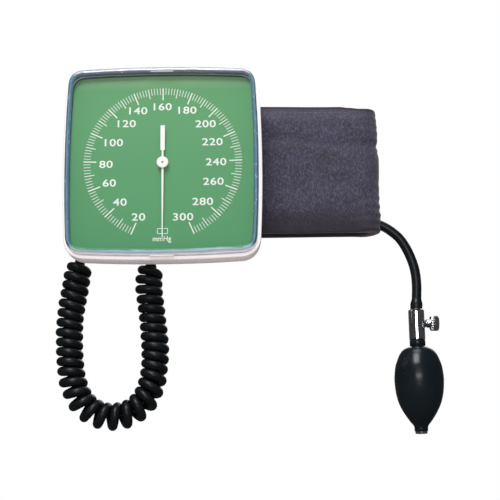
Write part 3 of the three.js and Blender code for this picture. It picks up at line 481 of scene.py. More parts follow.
def square_shell(stations, corner, outer_half, ring=False):
    """Bridges square outlines (half, depth, band). A corner shrinks with its outline. A ring
    closes on itself, and any other shell is capped at both ends."""
    bm = bmesh.new()
    loops = []
    for half, depth, band in stations:
        shrunk = max(corner - (outer_half - half), SMALLEST_CORNER)
        loops.append(square_loop(bm, half, shrunk, depth, band))
    for first, second in zip(loops, loops[1:]):
        bmesh.ops.bridge_loops(bm, edges=first + second)
    if ring:
        bmesh.ops.bridge_loops(bm, edges=loops[0] + loops[-1])
    else:
        bmesh.ops.contextual_create(bm, geom=loops[0])
        bmesh.ops.contextual_create(bm, geom=loops[-1])
    bmesh.ops.recalc_face_normals(bm, faces=bm.faces)
    return bm


def quarter_round(half, depth, out, forward, steps, band=0.0):
    """Stations round an edge: out grows as depth goes forward, as a quarter ellipse."""
    stations = []
    for i in range(steps + 1):
        angle = i / steps * math.pi / 2
        stations.append((half + out * math.sin(angle), depth - forward * (1 - math.cos(angle)), band))
    return stations


white_abs = finish(
    "white_abs", rgb(246, 243, 245), rgb(240, 237, 240), (0.24, 0.34), patch=14, grain=700,
    depth=0.000012, Coat_Weight=0.25, Coat_Roughness=0.12,
)

# The step round the dial lies in the shade of the cover's wall and takes its slate colour.
rim_shade = finish("rim_shade", rgb(84, 92, 108), rgb(74, 84, 98), (0.3, 0.4), patch=40)
case_stations = [(80, -50.05, 0)]
case_stations += quarter_round(86, CASE_BACK_Y, 9.5, 32, 14)
case_stations += [(95.5, -87, 0), (95.5, -90.3, 0), (95.2, -91.2, 0), (94.4, CASE_FRONT_Y, 0)]
case_stations += [(90.1, -91.65, 0), (89.6, -91.3, 1), (89.5, DIAL_LEDGE_Y, 1)]
case_stations += [(86.5, -85.95, 0), (86.5, -80.5, 0)]
case_stations += [(91, -79, 0), (92, -72, 0), (89, -60, 0), (82, -54, 0), (70, -53, 0)]
case_bm = square_shell(case_stations, CASE_CORNER, CASE_HALF)
in_rim = case_bm.verts.layers.float["across"]
for face in case_bm.faces:
    face.material_index = int(all(vert[in_rim] == 1 for vert in face.verts))


def brick(low, high, edge=0.4):
    """A block between two corners in millimetres, with rounded edges."""
    bm = bmesh.new()
    bmesh.ops.create_cube(bm, size=1)
    low, high = Vector(low), Vector(high)
    bmesh.ops.scale(bm, verts=bm.verts, vec=(high - low) * MM)
    bmesh.ops.translate(bm, verts=bm.verts, vec=(low + high) / 2 * MM)
    bevelled(bm, edge)
    return bm


TONGUE_HALF_WIDTH = 11.2
MOVEMENT_POST = [(1.6, 0), (3, 0), (3, 17), (5, 18.4), (0, 18.4), (0, 6), (1.6, 6), (1.6, 0)]
SCREW_BOSS = [(0, 0), (4.6, 0), (5, 0.4), (5.4, 7), (0, 7)]
case_parts = [case_bm]
for z_low, z_high in ((90.9, 92.6), (-92.6, -90.9)):
    tongue_low = (-TONGUE_HALF_WIDTH, CASE_FRONT_Y - 3.8, z_low)
    tongue_high = (TONGUE_HALF_WIDTH, CASE_FRONT_Y + 1, z_high)
    case_parts.append(brick(tongue_low, tongue_high, 0.3))
for x, z in ((-32, 10), (32, 10), (-32, -50), (32, -50)):
    case_parts.append(turned(MOVEMENT_POST, (x, -70.7, z), (0, 1, 0), 24))
for x in (-40, 70):
    for z in (83.2, -75.2):
        case_parts.append(turned(SCREW_BOSS, (x, -60, z), (0, 1, 0), 24))
rear_case = settle("rear_case_moulding", joined(*case_parts), white_abs, rim_shade)
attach(rear_case, "housing")
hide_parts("rear_case")

# ---- Seal --------------------------------------------------------------------------------------
# A thin dark blue rubber gasket between the case and the cover, seen only as a line.

seal_rubber = finish("seal_rubber", rgb(52, 68, 104), rgb(40, 54, 86), (0.5, 0.65), Coat_Weight=0.0)
COVER_HALF = 92
COVER_CORNER = 17
seal_stations = [(89.6, -92.05, 0), (91.8, -92, 0), (91.8, -92.75, 0), (89.6, -92.8, 0)]
seal_bm = square_shell(seal_stations, COVER_CORNER, COVER_HALF, ring=True)
seal = settle("cover_gasket", seal_bm, seal_rubber)
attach(seal, "housing")
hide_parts("cover_seal")

# ---- Dial ----------------------------------------------------------------------------------------
# An aluminium plate in green enamel. The scale, from 20 to 300 in twos, the numerals, the zero
# box and the unit are screen printed in white. Zero is straight down, and the steps between the
# marks widen a little from the top towards both ends of the scale.

DIAL_FRONT_Y = -87.5
SCALE_RADIUS = 76.3
SCALE_Z = 0.4
TOP_PRESSURE = 160
DEGREES_PER_MMHG = 1.125
PRINT_THICK = 0.06
TEXT_EXTRUDE = 0.02

dial_green = finish(
    "dial_enamel", rgb(64, 144, 88), rgb(68, 148, 92), (0.5, 0.6), patch=22, grain=1400,
    depth=0.000006,
)
tree = dial_green.node_tree
height = tree.nodes.new("ShaderNodeSeparateXYZ")
tree.links.new(tree.nodes["Texture Coordinate"].outputs["Object"], height.inputs["Vector"])
enamel = tree.nodes["Mix"].outputs[2]
# Painted light: the enamel is painted paler towards the top, and paler still in a band along the top edge
# that lifts the shade cast by the case's rim.
for low, high, painted_top_light in ((-0.09, 0.07, rgb(82, 154, 93)), (0.074, 0.088, rgb(128, 176, 124))):
    enamel = blended(tree, ranged(tree, height.outputs["Z"], 0, 1, low, high), enamel, painted_top_light)
tree.links.new(enamel, tree.nodes["Principled BSDF"].inputs["Base Color"])
dial_stations = [(88.9, -86.3, 0), (89.2, -86.6, 0), (89.2, -87.2, 0), (88.9, DIAL_FRONT_Y, 0)]
dial = settle("dial_enamelled", square_shell(dial_stations, COVER_CORNER, COVER_HALF), dial_green)
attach(dial, "housing")
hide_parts("dial_plate")

white_ink = finish(
    "white_ink", rgb(240, 243, 238), rgb(230, 234, 228), (0.4, 0.5), patch=120, grain=3000,
    depth=0.000004,
)


def around_dial(pressure):
    """The angle of a pressure on the dial, clockwise from the top."""
    even = math.radians((pressure - TOP_PRESSURE) * DEGREES_PER_MMHG)
    return even - math.radians(1.7) * math.sin(even)


def print_bar(bm, centre, length, width, turn):
    """A printed bar on the dial's face, its length along a radius when turn is its angle."""
    bar = bmesh.ops.create_cube(bm, size=1)["verts"]
    bmesh.ops.scale(bm, verts=bar, vec=Vector((width, PRINT_THICK, length)) * MM)
    bmesh.ops.rotate(bm, verts=bar, cent=(0, 0, 0), matrix=Matrix.Rotation(turn, 3, "Y"))
    x, z = centre
    bmesh.ops.translate(bm, verts=bar, vec=Vector((x, DIAL_FRONT_Y - PRINT_THICK / 2, z)) * MM)


# Each mark's inner end, as a share of the scale's radius, and its width, by the step it stands on.
MARKS = {2: (0.912, 0.55), 10: (0.872, 0.75), 20: (0.838, 1.1)}
bm = bmesh.new()
for pressure in range(20, 302, 2):
    share, width = next(MARKS[every] for every in (20, 10, 2) if pressure % every == 0)
    inner = share * SCALE_RADIUS
    angle = around_dial(pressure)
    middle = (inner + SCALE_RADIUS) / 2
    place = (middle * math.sin(angle), SCALE_Z + middle * math.cos(angle))
    print_bar(bm, place, SCALE_RADIUS - inner, width, angle)
ZERO_BOX = {"left": -4.9, "right": 4.8, "low": -69.2, "high": -64.2, "line": 0.6}
box_x = (ZERO_BOX["left"] + ZERO_BOX["right"]) / 2
box_z = (ZERO_BOX["low"] + ZERO_BOX["high"]) / 2
box_width = ZERO_BOX["right"] - ZERO_BOX["left"]
box_height = ZERO_BOX["high"] - ZERO_BOX["low"]
for x in (ZERO_BOX["left"], ZERO_BOX["right"]):
    print_bar(bm, (x, box_z), box_height, ZERO_BOX["line"], 0)
for z in (ZERO_BOX["low"], ZERO_BOX["high"]):
    print_bar(bm, (box_x, z), ZERO_BOX["line"], box_width, 0)
scale_marks = settle("scale_marks", bm, white_ink)


def lettering(body, centre, height, weight, stretch=1.2, spacing=1.08):
    """Printed characters of a given height, centred on a point of the dial."""
    text = bpy.data.curves.new(body, "FONT")
    text.body = body
    text.offset = weight
    text.space_character = spacing
    text.extrude = TEXT_EXTRUDE
    holder = bpy.data.objects.new(body, text)
    scene.collection.objects.link(holder)
    bpy.context.view_layer.update()
    depsgraph = bpy.context.evaluated_depsgraph_get()
    mesh = bpy.data.meshes.new_from_object(holder.evaluated_get(depsgraph))
    bpy.data.objects.remove(holder)
    bm = bmesh.new()
    bm.from_mesh(mesh)
    bpy.data.meshes.remove(mesh)
    bmesh.ops.remove_doubles(bm, verts=bm.verts, dist=1e-5)
    xs, ys = [v.co.x for v in bm.verts], [v.co.y for v in bm.verts]
    middle = Vector(((min(xs) + max(xs)) / 2, (min(ys) + max(ys)) / 2, 0))
    bmesh.ops.translate(bm, verts=bm.verts, vec=-middle)
    size = height / (max(ys) - min(ys))
    thick = PRINT_THICK / (2 * TEXT_EXTRUDE)
    bmesh.ops.scale(bm, verts=bm.verts, vec=Vector((size * stretch, size, thick)) * MM)
    bmesh.ops.rotate(bm, verts=bm.verts, cent=(0, 0, 0), matrix=Matrix.Rotation(math.pi / 2, 3, "X"))
    x, z = centre
    bmesh.ops.translate(bm, verts=bm.verts, vec=Vector((x, DIAL_FRONT_Y - PRINT_THICK / 2, z)) * MM)
    return bm


NUMERAL_PLACES = {20: (-0.30, -0.69), 40: (-0.535, -0.495), 60: (-0.67, -0.245), 80: (-0.715, 0)}
NUMERAL_PLACES |= {100: (-0.62, 0.285), 120: (-0.46, 0.535), 140: (-0.315, 0.705)}
NUMERAL_PLACES |= {160: (-0.005, 0.755), 180: (0.31, 0.705), 200: (0.54, 0.52), 220: (0.625, 0.28)}
NUMERAL_PLACES |= {240: (0.67, 0.015), 260: (0.635, -0.24), 280: (0.5, -0.5), 300: (0.255, -0.695)}
words = []
for number, (x, z) in NUMERAL_PLACES.items():
    words.append(lettering(str(number), (x * SCALE_RADIUS, z * SCALE_RADIUS), 7.3, 0.012, 1.27))
words.append(lettering("mmHg", (-0.5, -74.9), 6.7, 0.014, 0.92, 1.0))
numerals = settle("dial_numerals", joined(*words), white_ink)
for piece in (scale_marks, numerals):
    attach(piece, "housing")

# ---- Pointer -------------------------------------------------------------------------------------
# A thin white enamelled blade with a bar that balances it, pressed on the staff under a round hub.

POINTER_BACK_Y = -90.5
POINTER_THICK = 0.8
TIP = -0.97 * SCALE_RADIUS
HUB_BACK_Y = -91.6
white_enamel = finish("white_enamel", rgb(246, 247, 244), rgb(238, 239, 236), (0.25, 0.35), patch=80)
outline = [(-0.5, TIP + 1), (0, TIP), (0.5, TIP + 1), (1.1, -3), (0.9, 12.3), (2.15, 12.6), (2.15, 37.1)]
outline += [(1.75, 37.5), (-1.75, 37.5), (-2.15, 37.1), (-2.15, 12.6), (-0.9, 12.3), (-1.1, -3)]
bm = bmesh.new()
blade = bm.faces.new([bm.verts.new((x * MM, POINTER_BACK_Y * MM, z * MM)) for x, z in outline])
lifted = bmesh.ops.extrude_face_region(bm, geom=[blade])["geom"]
moved = [item for item in lifted if isinstance(item, bmesh.types.BMVert)]
bmesh.ops.translate(bm, verts=moved, vec=(0, -POINTER_THICK * MM, 0))
bmesh.ops.recalc_face_normals(bm, faces=bm.faces)
bevelled(bm, 0.12)
pointer = settle("pointer_blade", bm, white_enamel, crease=20)
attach(pointer, "needle")
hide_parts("pointer")

hub_profile = [(0.9, 0), (5.5, 0), (5.65, 0.2), (5.65, 0.9), (5.45, 1.25), (5.0, 1.45), (1.5, 1.5)]
hub_profile += [(1.2, 1.4), (0.9, 1.1), (0.9, 0)]
hub = settle("pointer_hub_cap", turned(hub_profile, (0, HUB_BACK_Y, 0), (0, -1, 0), 64), white_enamel)
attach(hub, "needle")
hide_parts("pointer_hub")

# ---- Clear cover ---------------------------------------------------------------------------------
# A tray moulded in clear acrylic. The front is a thin flat pane. Light runs inside the thick side
# walls and breaks up in them, so their polished edges look streaked with blue, teal and white.
# Here the walls are opaque, and that streaked look is painted refraction and reflection.

COVER_FRONT_Y = -106.7
COVER_BACK_Y = -93.1

pane = finish(
    "acrylic_pane", rgb(84, 104, 108), rgb(78, 98, 102), (0.0, 0.012), patch=12, grain=30,
    depth=0.000002, Alpha=0.07,
)


def streaked_edge():
    """Painted refraction and reflection for the acrylic's walls: bands across the wall that waver as they
    run along it.
    """
    material = bpy.data.materials.new("acrylic_edge_painted_refraction")
    material.use_nodes = True
    tree = material.node_tree
    shader = tree.nodes["Principled BSDF"]
    shader.inputs["Roughness"].default_value = 0.06
    shader.inputs["Coat Weight"].default_value = 0.2
    shader.inputs["Specular IOR Level"].default_value = 0.35

    def attribute(name):
        node = tree.nodes.new("ShaderNodeAttribute")
        node.attribute_name = name
        return node.outputs["Fac"]

    def maths(operation, first, second):
        node = tree.nodes.new("ShaderNodeMath")
        node.operation = operation
        for index, value in enumerate((first, second)):
            if isinstance(value, bpy.types.NodeSocket):
                tree.links.new(value, node.inputs[index])
            else:
                node.inputs[index].default_value = value
        return node.outputs["Value"]

    across, along, facing = attribute("across"), attribute("along"), attribute("facing")
    where = tree.nodes.new("ShaderNodeCombineXYZ")
    tree.links.new(maths("MULTIPLY", along, 0.035), where.inputs["X"])
    tree.links.new(maths("MULTIPLY", across, 2.2), where.inputs["Y"])
    tree.links.new(facing, where.inputs["Z"])
    waver = noise_node(tree, where.outputs["Vector"], 1.6, 3)
    shifted = maths("ADD", across, maths("MULTIPLY", maths("SUBTRACT", waver, 0.5), 0.2))

    def bands(*stops):
        ramp = tree.nodes.new("ShaderNodeValToRGB")
        elements = ramp.color_ramp.elements
        while len(elements) < len(stops):
            elements.new(0.5)
        for element, (place, colour) in zip(elements, stops):
            element.position = place
            element.color = colour
        tree.links.new(shifted, ramp.inputs["Fac"])
        return ramp.outputs["Color"]

    # Painted refraction and reflection: one ramp for the side walls, one for the top wall, and one for
    # the bottom wall, which is painted lit white near its edge and the dial's green further in.
    sides = bands(
        (0.0, rgb(190, 206, 212)), (0.16, rgb(208, 220, 224)), (0.3, rgb(96, 124, 140)),
        (0.4, rgb(52, 92, 98)), (0.47, rgb(108, 138, 156)), (0.56, rgb(84, 114, 134)),
        (0.68, rgb(80, 120, 142)), (0.82, rgb(74, 140, 134)), (1.0, rgb(84, 148, 118)),
    )
    crown = bands(
        (0.0, rgb(190, 202, 210)), (0.3, rgb(174, 178, 192)), (0.42, rgb(122, 128, 152)),
        (0.48, rgb(208, 210, 220)), (0.53, rgb(150, 154, 170)), (0.57, rgb(88, 90, 112)),
        (0.7, rgb(92, 94, 114)), (0.86, rgb(120, 122, 138)), (1.0, rgb(92, 100, 110)),
    )
    sill = bands(
        (0.0, rgb(168, 174, 192)), (0.12, rgb(236, 238, 243)), (0.24, rgb(248, 248, 252)),
        (0.34, rgb(158, 182, 206)), (0.42, rgb(188, 208, 224)), (0.48, rgb(150, 184, 206)),
        (0.52, rgb(86, 160, 118)), (0.6, rgb(93, 163, 113)), (1.0, rgb(93, 163, 113)),
    )
    upward = ranged(tree, facing, 0, 1, 0.55, 0.85)
    downward = ranged(tree, facing, 1, 0, -0.85, -0.55)
    colour = blended(tree, upward, sides, crown)
    colour = blended(tree, downward, colour, sill)
    split = tree.nodes.new("ShaderNodeSeparateXYZ")
    tree.links.new(tree.nodes.new("ShaderNodeTexCoord").outputs["Object"], split.inputs["Vector"])
    # Painted refraction: the case's tongue, painted grey on the top wall where it shows through the
    # acrylic.
    off_middle = maths("ABSOLUTE", split.outputs["X"], 0.0)
    painted_catch_mask = maths("MULTIPLY", ranged(tree, off_middle, 1, 0, 0.0106, 0.0114), upward)
    for low, high, start, stop in ((0, 1, 0.58, 0.62), (1, 0, 0.76, 0.8)):
        painted_catch_mask = maths("MULTIPLY", painted_catch_mask, ranged(tree, across, low, high, start, stop))
    colour = blended(tree, painted_catch_mask, colour, rgb(172, 174, 186))
    # Painted glints scattered along the walls.
    painted_glint = ranged(tree, noise_node(tree, where.outputs["Vector"], 9, 2), 0, 0.7, 0.64, 0.74)
    colour = blended(tree, painted_glint, colour, rgb(226, 238, 242))
    tree.links.new(colour, shader.inputs["Base Color"])
    bumped(tree, waver, 0.0004)
    return material


refraction_paint = streaked_edge()
cover_stations = [(88.2, COVER_FRONT_Y, 0.56), (89.7, -106.5, 0.48), (90.9, -105.8, 0.4)]
cover_stations += [(91.7, -104.5, 0.32), (92, -102.9, 0.24), (92, -99.7, 0.14)]
cover_stations += [(92, COVER_BACK_Y, 0.0)]
cover_stations += [(89.5, -93.15, 1.0), (89.5, -97.7, 0.92), (89.5, -102.5, 0.8)]
cover_stations += [(88.8, -103.8, 0.72), (87.2, -104.3, 0.66)]
bm = square_shell(cover_stations, COVER_CORNER, COVER_HALF)
for face in bm.faces:
    face.material_index = int(len(face.verts) > 4)
cover = settle("clear_cover", bm, refraction_paint, pane, crease=50)
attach(cover, "housing")
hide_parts("front_cover")
cover.visible_shadow = False

# ---- Release valve -------------------------------------------------------------------------------
# A chromed tube between the bulb's tube and the bulb. A thumb screw with a knurled head turns in
# its side boss and moves with the stem. Inside are the outlet valve's disc and the bore.

BULB_X = 244
VALVE_TOP = -135.6
VALVE_BOTTOM = -165.7
SCREW_Z = -149.6
KNOB_X = 253.6

valve_profile = [(0, VALVE_BOTTOM - 12), (3, VALVE_BOTTOM - 12), (4.4, VALVE_BOTTOM - 11)]
valve_profile += [(4.4, VALVE_BOTTOM), (7.2, VALVE_BOTTOM), (7.7, VALVE_BOTTOM + 0.5)]
valve_profile += [(7.7, VALVE_BOTTOM + 1), (7.7, VALVE_TOP - 2.9), (7.7, VALVE_TOP - 2.4)]
valve_profile += [(7.4, VALVE_TOP - 0.8), (6.4, VALVE_TOP), (0, VALVE_TOP)]
screw_boss = [(0, -5), (3.9, -5), (3.9, 1.6), (5.2, 1.8), (5.2, 3.4), (3.9, 3.6), (3.9, 8.6)]
screw_boss += [(3.5, 9), (0, 9)]
valve_parts = (
    turned(valve_profile, (BULB_X, BULB_Y, 0), (0, 0, 1), 64),
    turned(screw_boss, (BULB_X, BULB_Y, SCREW_Z), (1, 0, 0), 32),
)
valve = settle("valve_chromed", joined(*valve_parts), chrome)
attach(valve, "housing")
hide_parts("valve_body")

STEM_X = 254
STEM_PROFILE = [(0, -7), (1.5, -7), (1.8, -6.6), (1.8, 1), (0, 1)]
stem_bar = turned(STEM_PROFILE, (STEM_X, BULB_Y, SCREW_Z), (1, 0, 0), 24)
stem = settle("stem_chromed", stem_bar, bright_steel)
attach(stem, "stem")
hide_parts("release_stem")

KNURLS = 20
KNURL_CIRCLE = 6.75
head = [(0, 0), (4, 0), (4.2, 0.3), (4.2, 3.2), (6.5, 3.4), (7, 4), (7, 10.8), (6.5, 11.6)]
head += [(5, 11.8), (4.6, 11.4), (0, 11.4)]
knob_parts = [turned(head, (KNOB_X, BULB_Y, SCREW_Z), (1, 0, 0), 60)]
for i in range(KNURLS):
    angle = 2 * math.pi * i / KNURLS
    y, z = BULB_Y + KNURL_CIRCLE * math.cos(angle), SCREW_Z + KNURL_CIRCLE * math.sin(angle)
    knob_parts.append(prism(8, 0.75, (KNOB_X + 4.2, y, z), (1, 0, 0), 6.8, 0.2))
knob = settle("knob_knurled", joined(*knob_parts), chrome)
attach(knob, "knob")
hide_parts("release_knob")

# ---- Inflation bulb and intake valve ---------------------------------------------------------------
# A hand bulb in smooth black rubber with a thick collar at its top neck. A chromed valve with a
# small grille is pressed into its bottom neck.

BULB_PROFILE = [(7, -172), (9.8, -172.9), (14.2, -175.4), (17.6, -179.4), (20.4, -185.5), (22.4, -191.7)]
BULB_PROFILE += [(23.3, -198), (23.7, -203.5), (23.5, -209), (22.9, -215.5), (21.6, -222.2)]
BULB_PROFILE += [(19.6, -228.5), (16.7, -234.4), (13.3, -240), (9.9, -244.8), (7.6, -247.6)]
BULB_PROFILE += [(6.6, -249.6), (6.5, -252), (6.3, -253.6), (5.8, -254), (4.4, -254), (4.4, -248)]
BULB_PROFILE += [(9, -243.6), (18, -229), (20.4, -218), (21, -203.5), (19.7, -193.5), (14, -181)]
BULB_PROFILE += [(4.4, -175.5), (4.4, -166)]
BULB_NECK = [(4.4, -166), (6.8, -166), (7.4, -166.3), (7.6, -167), (7.6, -170.6), (7.3, -171.5)]
bulb_rubber = finish(
    "bulb_rubber", rgb(14, 21, 26), rgb(19, 27, 32), (0.2, 0.3), patch=30, grain=1100,
    depth=0.00002, Specular_IOR_Level=0.3,
)
WALL_POINTS = 18
wall_line = smooth_line([Vector((r, 0, z)) for r, z in BULB_PROFILE[:WALL_POINTS]], 4)
bulb_outline = BULB_NECK + [(point.x, point.z) for point in wall_line] + BULB_PROFILE[WALL_POINTS:]
bulb = settle("bulb_moulded", turned(bulb_outline, (BULB_X, BULB_Y, 0), (0, 0, 1), 96), bulb_rubber)
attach(bulb, "housing")
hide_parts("bulb")

# ---- Cuff ----------------------------------------------------------------------------------------
# A wide nylon cuff with the bladder inside, folded double with its fold on the right and parked in
# the basket behind the gauge. The cloth has a fine weave, a stitched hem along the top, puckers
# that gather into the fold, and soft rolls where the bladder lies beneath.

CUFF_LEFT = 8
FOLD_X = 197
FOLD_Y = -32.2
FOLD_RADIUS = 8.75
HALF_THICK = 7.75
FOLD_REACH = FOLD_X - CUFF_LEFT
FOLD_LENGTH = math.pi * FOLD_RADIUS
CUFF_LENGTH = 2 * FOLD_REACH + FOLD_LENGTH
CUFF_COLUMNS = 260
CUFF_ROWS = 150
HEM = 6.6
STITCH = 3.2
STITCH_STEP = 5
LAST_STITCH_X = 184


def ease(value, start, stop):
    """0 before start and 1 after stop, with a soft change between."""
    t = min(max((value - start) / (stop - start), 0), 1)
    return t * t * (3 - 2 * t)


def cuff_path(run):
    """The place and the outward direction at a distance along the folded cuff."""
    if run < FOLD_REACH:
        return Vector((CUFF_LEFT + run, FOLD_Y - FOLD_RADIUS, 0)), Vector((0, -1, 0))
    if run < FOLD_REACH + FOLD_LENGTH:
        angle = (run - FOLD_REACH) / FOLD_RADIUS
        outward = Vector((math.sin(angle), -math.cos(angle), 0))
        return Vector((FOLD_X, FOLD_Y, 0)) + FOLD_RADIUS * outward, outward
    return Vector((FOLD_X - (run - FOLD_REACH - FOLD_LENGTH), FOLD_Y + FOLD_RADIUS, 0)), Vector((0, 1, 0))


def cuff_top(x):
    return 72.9 - 1.3 * ease(x, 70, 165) - 1.1 * ease(x, 174, 184) - 2.5 * ease(x, 183, 199)


def cuff_bottom(x):
    return -60.2 + 1.0 * ease(x, 70, 90) + 2.2 * ease(x, 192, 212)


def cuff_swell(run, x, z):
    """How far the cloth of the outer side stands off its plain shape, in millimetres."""
    to_fold = abs(run - FOLD_REACH - FOLD_LENGTH / 2)
    place = Vector((x, z, 0)) * 0.001
    roll = 1.1 * noise.noise(Vector((place.x * 9, place.y * 34, 1.7)))
    soft = 0.6 * noise.noise(Vector((place.x * 30, place.y * 60, 5.1)))
    gather = 1 - ease(to_fold, 10, 34)
    pucker = 0.9 * gather * noise.noise(Vector((place.x * 45, place.y * 190, 8.3)))
    edge_pucker = 0.45 * (1 - ease(abs(z), 20, 66)) * gather * math.sin(z * 0.75 + 2.5 * soft)
    valley = -1.5 * math.exp(-(((z - 33 + 4 * math.sin(x / 23)) / 5.5) ** 2)) * ease(x, 70, 120)
    seam = -0.5 * math.exp(-(((cuff_top(x) - z - HEM) / 1.1) ** 2))
    return roll + soft + pucker + edge_pucker + valley + seam


bm = bmesh.new()
bmesh.ops.create_grid(bm, x_segments=CUFF_COLUMNS, y_segments=CUFF_ROWS, size=0.5)
from_top = bm.verts.layers.float.new("from_top")
from_foot = bm.verts.layers.float.new("from_foot")
for vert in bm.verts:
    run = (vert.co.x + 0.5) * CUFF_LENGTH
    turn = (vert.co.y + 0.5) * 2 * math.pi
    middle, outward = cuff_path(run)
    back = ease(run, FOLD_REACH, FOLD_REACH + FOLD_LENGTH)
    half_thick = HALF_THICK - back
    top_z, low_z = cuff_top(middle.x + FOLD_RADIUS * max(outward.x, 0)), cuff_bottom(middle.x)
    up, out = -math.cos(turn), math.sin(turn)
    at_fold = 1 - ease(abs(run - FOLD_REACH - FOLD_LENGTH / 2), 8, 30)
    tall = math.copysign(abs(up) ** 0.55, up)
    face = math.copysign(abs(out) ** (0.5 - 0.42 * at_fold), out)
    z = (top_z + low_z) / 2 + tall * (top_z - low_z) / 2
    thin = 1 - 0.5 * ease(z, top_z - 17, top_z - 3) - 0.42 * (1 - ease(z, low_z, low_z + 24))
    thin += (1 - thin) * 0.85 * at_fold
    end = 1 - 0.7 * (1 - ease(min(run, CUFF_LENGTH - run), 0, 9))
    offset = face * half_thick * thin * end
    if out > 0:
        offset += cuff_swell(run, middle.x, z) * out**0.4 * ease(min(run, CUFF_LENGTH - run), 0, 6)
    offset = min(offset, HALF_THICK)
    vert.co = (middle + outward * offset + Vector((0, 0, z))) * MM
    vert[from_top], vert[from_foot] = top_z - z, z - low_z
bmesh.ops.remove_doubles(bm, verts=bm.verts, dist=1e-6)
rims = [edge for edge in bm.edges if edge.is_boundary]
bmesh.ops.holes_fill(bm, edges=rims)
bmesh.ops.recalc_face_normals(bm, faces=bm.faces)


def woven(name, first, second, fleck, shade):
    """Cloth of upright threads with paler and darker ones among them. It is plainer and redder
    along the hem. Painted shade makes it darker and redder towards the foot, and dark along the
    top edge, where it rolls over."""
    material = finish(name, first, second, (0.72, 0.9), patch=70, grain=1600, Sheen_Weight=0.2)
    tree = material.node_tree
    stretch = tree.nodes.new("ShaderNodeMapping")
    stretch.inputs["Scale"].default_value = (1.0, 0.6, 0.4)
    tree.links.new(tree.nodes["Texture Coordinate"].outputs["Object"], stretch.inputs["Vector"])
    threads = noise_node(tree, stretch.outputs["Vector"], 1050, 2)
    distances = {}
    for layer in ("from_top", "from_foot"):
        node = tree.nodes.new("ShaderNodeAttribute")
        node.attribute_name = layer
        distances[layer] = node.outputs["Fac"]
    cloth = tree.nodes["Mix"].outputs[2]
    layers = (
        (ranged(tree, threads, 0, 0.7, 0.48, 0.75), fleck),
        (ranged(tree, threads, 0.7, 0, 0.28, 0.46), shade),
        # Painted shade, darker towards the foot.
        (ranged(tree, distances["from_foot"], 0.75, 0, 6, 26), rgb(34, 28, 37)),
        (ranged(tree, distances["from_top"], 0.6, 0, HEM - 0.4, HEM + 0.6), rgb(66, 54, 74)),
        # Painted shade along the top edge, where the cloth rolls over.
        (ranged(tree, distances["from_top"], 0.9, 0, 2.2, 3.8), rgb(22, 20, 28)),
    )
    for share, colour in layers:
        cloth = blended(tree, share, cloth, colour)
    tree.links.new(cloth, tree.nodes["Principled BSDF"].inputs["Base Color"])
    bumped(tree, threads, 0.0002, 0.6)
    return material


nylon = woven("nylon_weave", rgb(52, 49, 67), rgb(41, 37, 52), rgb(90, 90, 122), rgb(26, 23, 33))
surface = BVHTree.FromBMesh(bm)
cuff = settle("cuff_sewn", bm, nylon, crease=70)
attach(cuff, "housing")
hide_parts("cuff_cloth")

stitch_thread = finish("stitch_thread", rgb(112, 108, 128), rgb(92, 88, 106), (0.6, 0.8), patch=200)
bm = bmesh.new()
for x in range(CUFF_LEFT + 12, LAST_STITCH_X, STITCH_STEP):
    start = Vector((x, -200, cuff_top(x) - HEM)) * MM
    place = surface.ray_cast(start, Vector((0, 1, 0)))[0]
    thread = bmesh.ops.create_cube(bm, size=1)["verts"]
    bmesh.ops.scale(bm, verts=thread, vec=Vector((STITCH, 0.6, 0.6)) * MM)
    bmesh.ops.translate(bm, verts=thread, vec=place)
stitches = settle("hem_stitches", bevelled(bm, 0.15), stitch_thread)
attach(stitches, "housing")

# ---- Bladder, wall plate, basket, patches and movement ------------------------------------------------
# A flat latex bladder lies in the cuff. The zinc wall plate, the white basket and the loop patch get
# soft edges. The screws, the brass and bronze movement and the small rubber parts keep their shape.

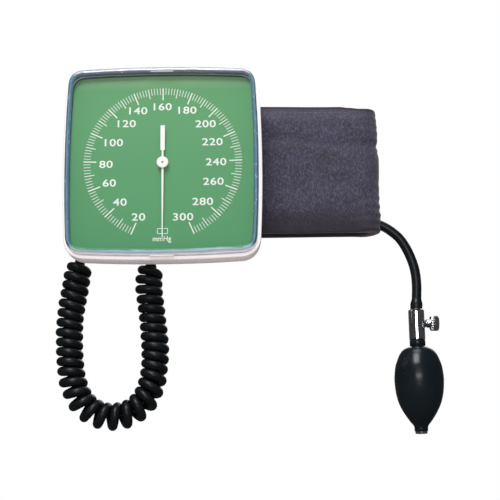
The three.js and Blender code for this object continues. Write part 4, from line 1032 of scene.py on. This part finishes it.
zinc = finish("zinc_plate", rgb(168, 172, 178), rgb(150, 154, 160), (0.4, 0.55), metallic=0.6, patch=45)
brass = finish("brass", rgb(196, 168, 96), rgb(176, 148, 80), (0.24, 0.4), metallic=1.0, patch=70)
bronze = finish(
    "spring_bronze", rgb(182, 132, 76), rgb(160, 112, 62), (0.28, 0.4), metallic=1.0, patch=90,
)
bladder_latex = finish("bladder_latex", rgb(62, 52, 55), rgb(52, 44, 47), (0.6, 0.8), patch=30)
pile = finish(
    "fastening_pile", rgb(52, 50, 64), rgb(66, 63, 80), (0.85, 0.98), patch=300, grain=1400,
    depth=0.0006, Sheen_Weight=0.4,
)
valve_rubber = finish("valve_rubber", rgb(40, 42, 44), rgb(52, 54, 56), (0.5, 0.7), patch=120)

BLADDER_FRONT_Y = -43
EDGE_RADIUS = 0.5
nipple = turned([(0, 0), (2.6, 0), (2.6, 5), (0, 5)], (9, -40.7, -22), (1, 0, 0), 24)
bladder_bag = brick((12, BLADDER_FRONT_Y, -48), (180, BLADDER_FRONT_Y + 4.6, 58), 2)
bladder = settle("bladder_bag", joined(bladder_bag, nipple), bladder_latex)
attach(bladder, "housing")
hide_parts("bladder")

PLAIN_PARTS = {
    "hook_patch": pile, "inner_tube": valve_rubber, "outlet_valve_disc": valve_rubber,
    "intake_valve_disc": valve_rubber, "intake_valve": chrome, "elbow_nut": brass,
    "pressure_capsule": bronze, "hairspring": bronze,
}
MOVEMENT_WORDS = ("movement", "pinion", "sector", "capsule", "inlet_block", "rocker", "staff")
ROUNDED_PARTS = {
    "wall_plate": (zinc, "zinc_plate"), "cuff_basket": (white_abs, "white_abs"),
    "loop_patch": (pile, "pile_fabric"),
}


def round_edges(node, width):
    """Merges a part's corners and gives its sharp edges a small radius, in millimetres."""
    bm = bmesh.new()
    bm.from_mesh(node.data)
    bmesh.ops.remove_doubles(bm, verts=bm.verts, dist=1e-6)
    bmesh.ops.dissolve_limit(bm, angle_limit=math.radians(2), verts=bm.verts, edges=bm.edges)
    bevelled(bm, width)
    return bm


for name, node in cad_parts.items():
    if name in ROUNDED_PARTS:
        shown, slot = ROUNDED_PARTS[name]
        rounded_bm = round_edges(node, EDGE_RADIUS)
        rounded = settle(name + "_finished", rounded_bm, shown, flat_over=0.00002)
        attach(rounded, "housing")
        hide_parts(name)
    elif name in PLAIN_PARTS or "screw" in name or any(word in name for word in MOVEMENT_WORDS):
        shown = PLAIN_PARTS.get(name, bright_steel if "screw" in name else brass)
        node.data.materials.clear()
        node.data.materials.append(shown)
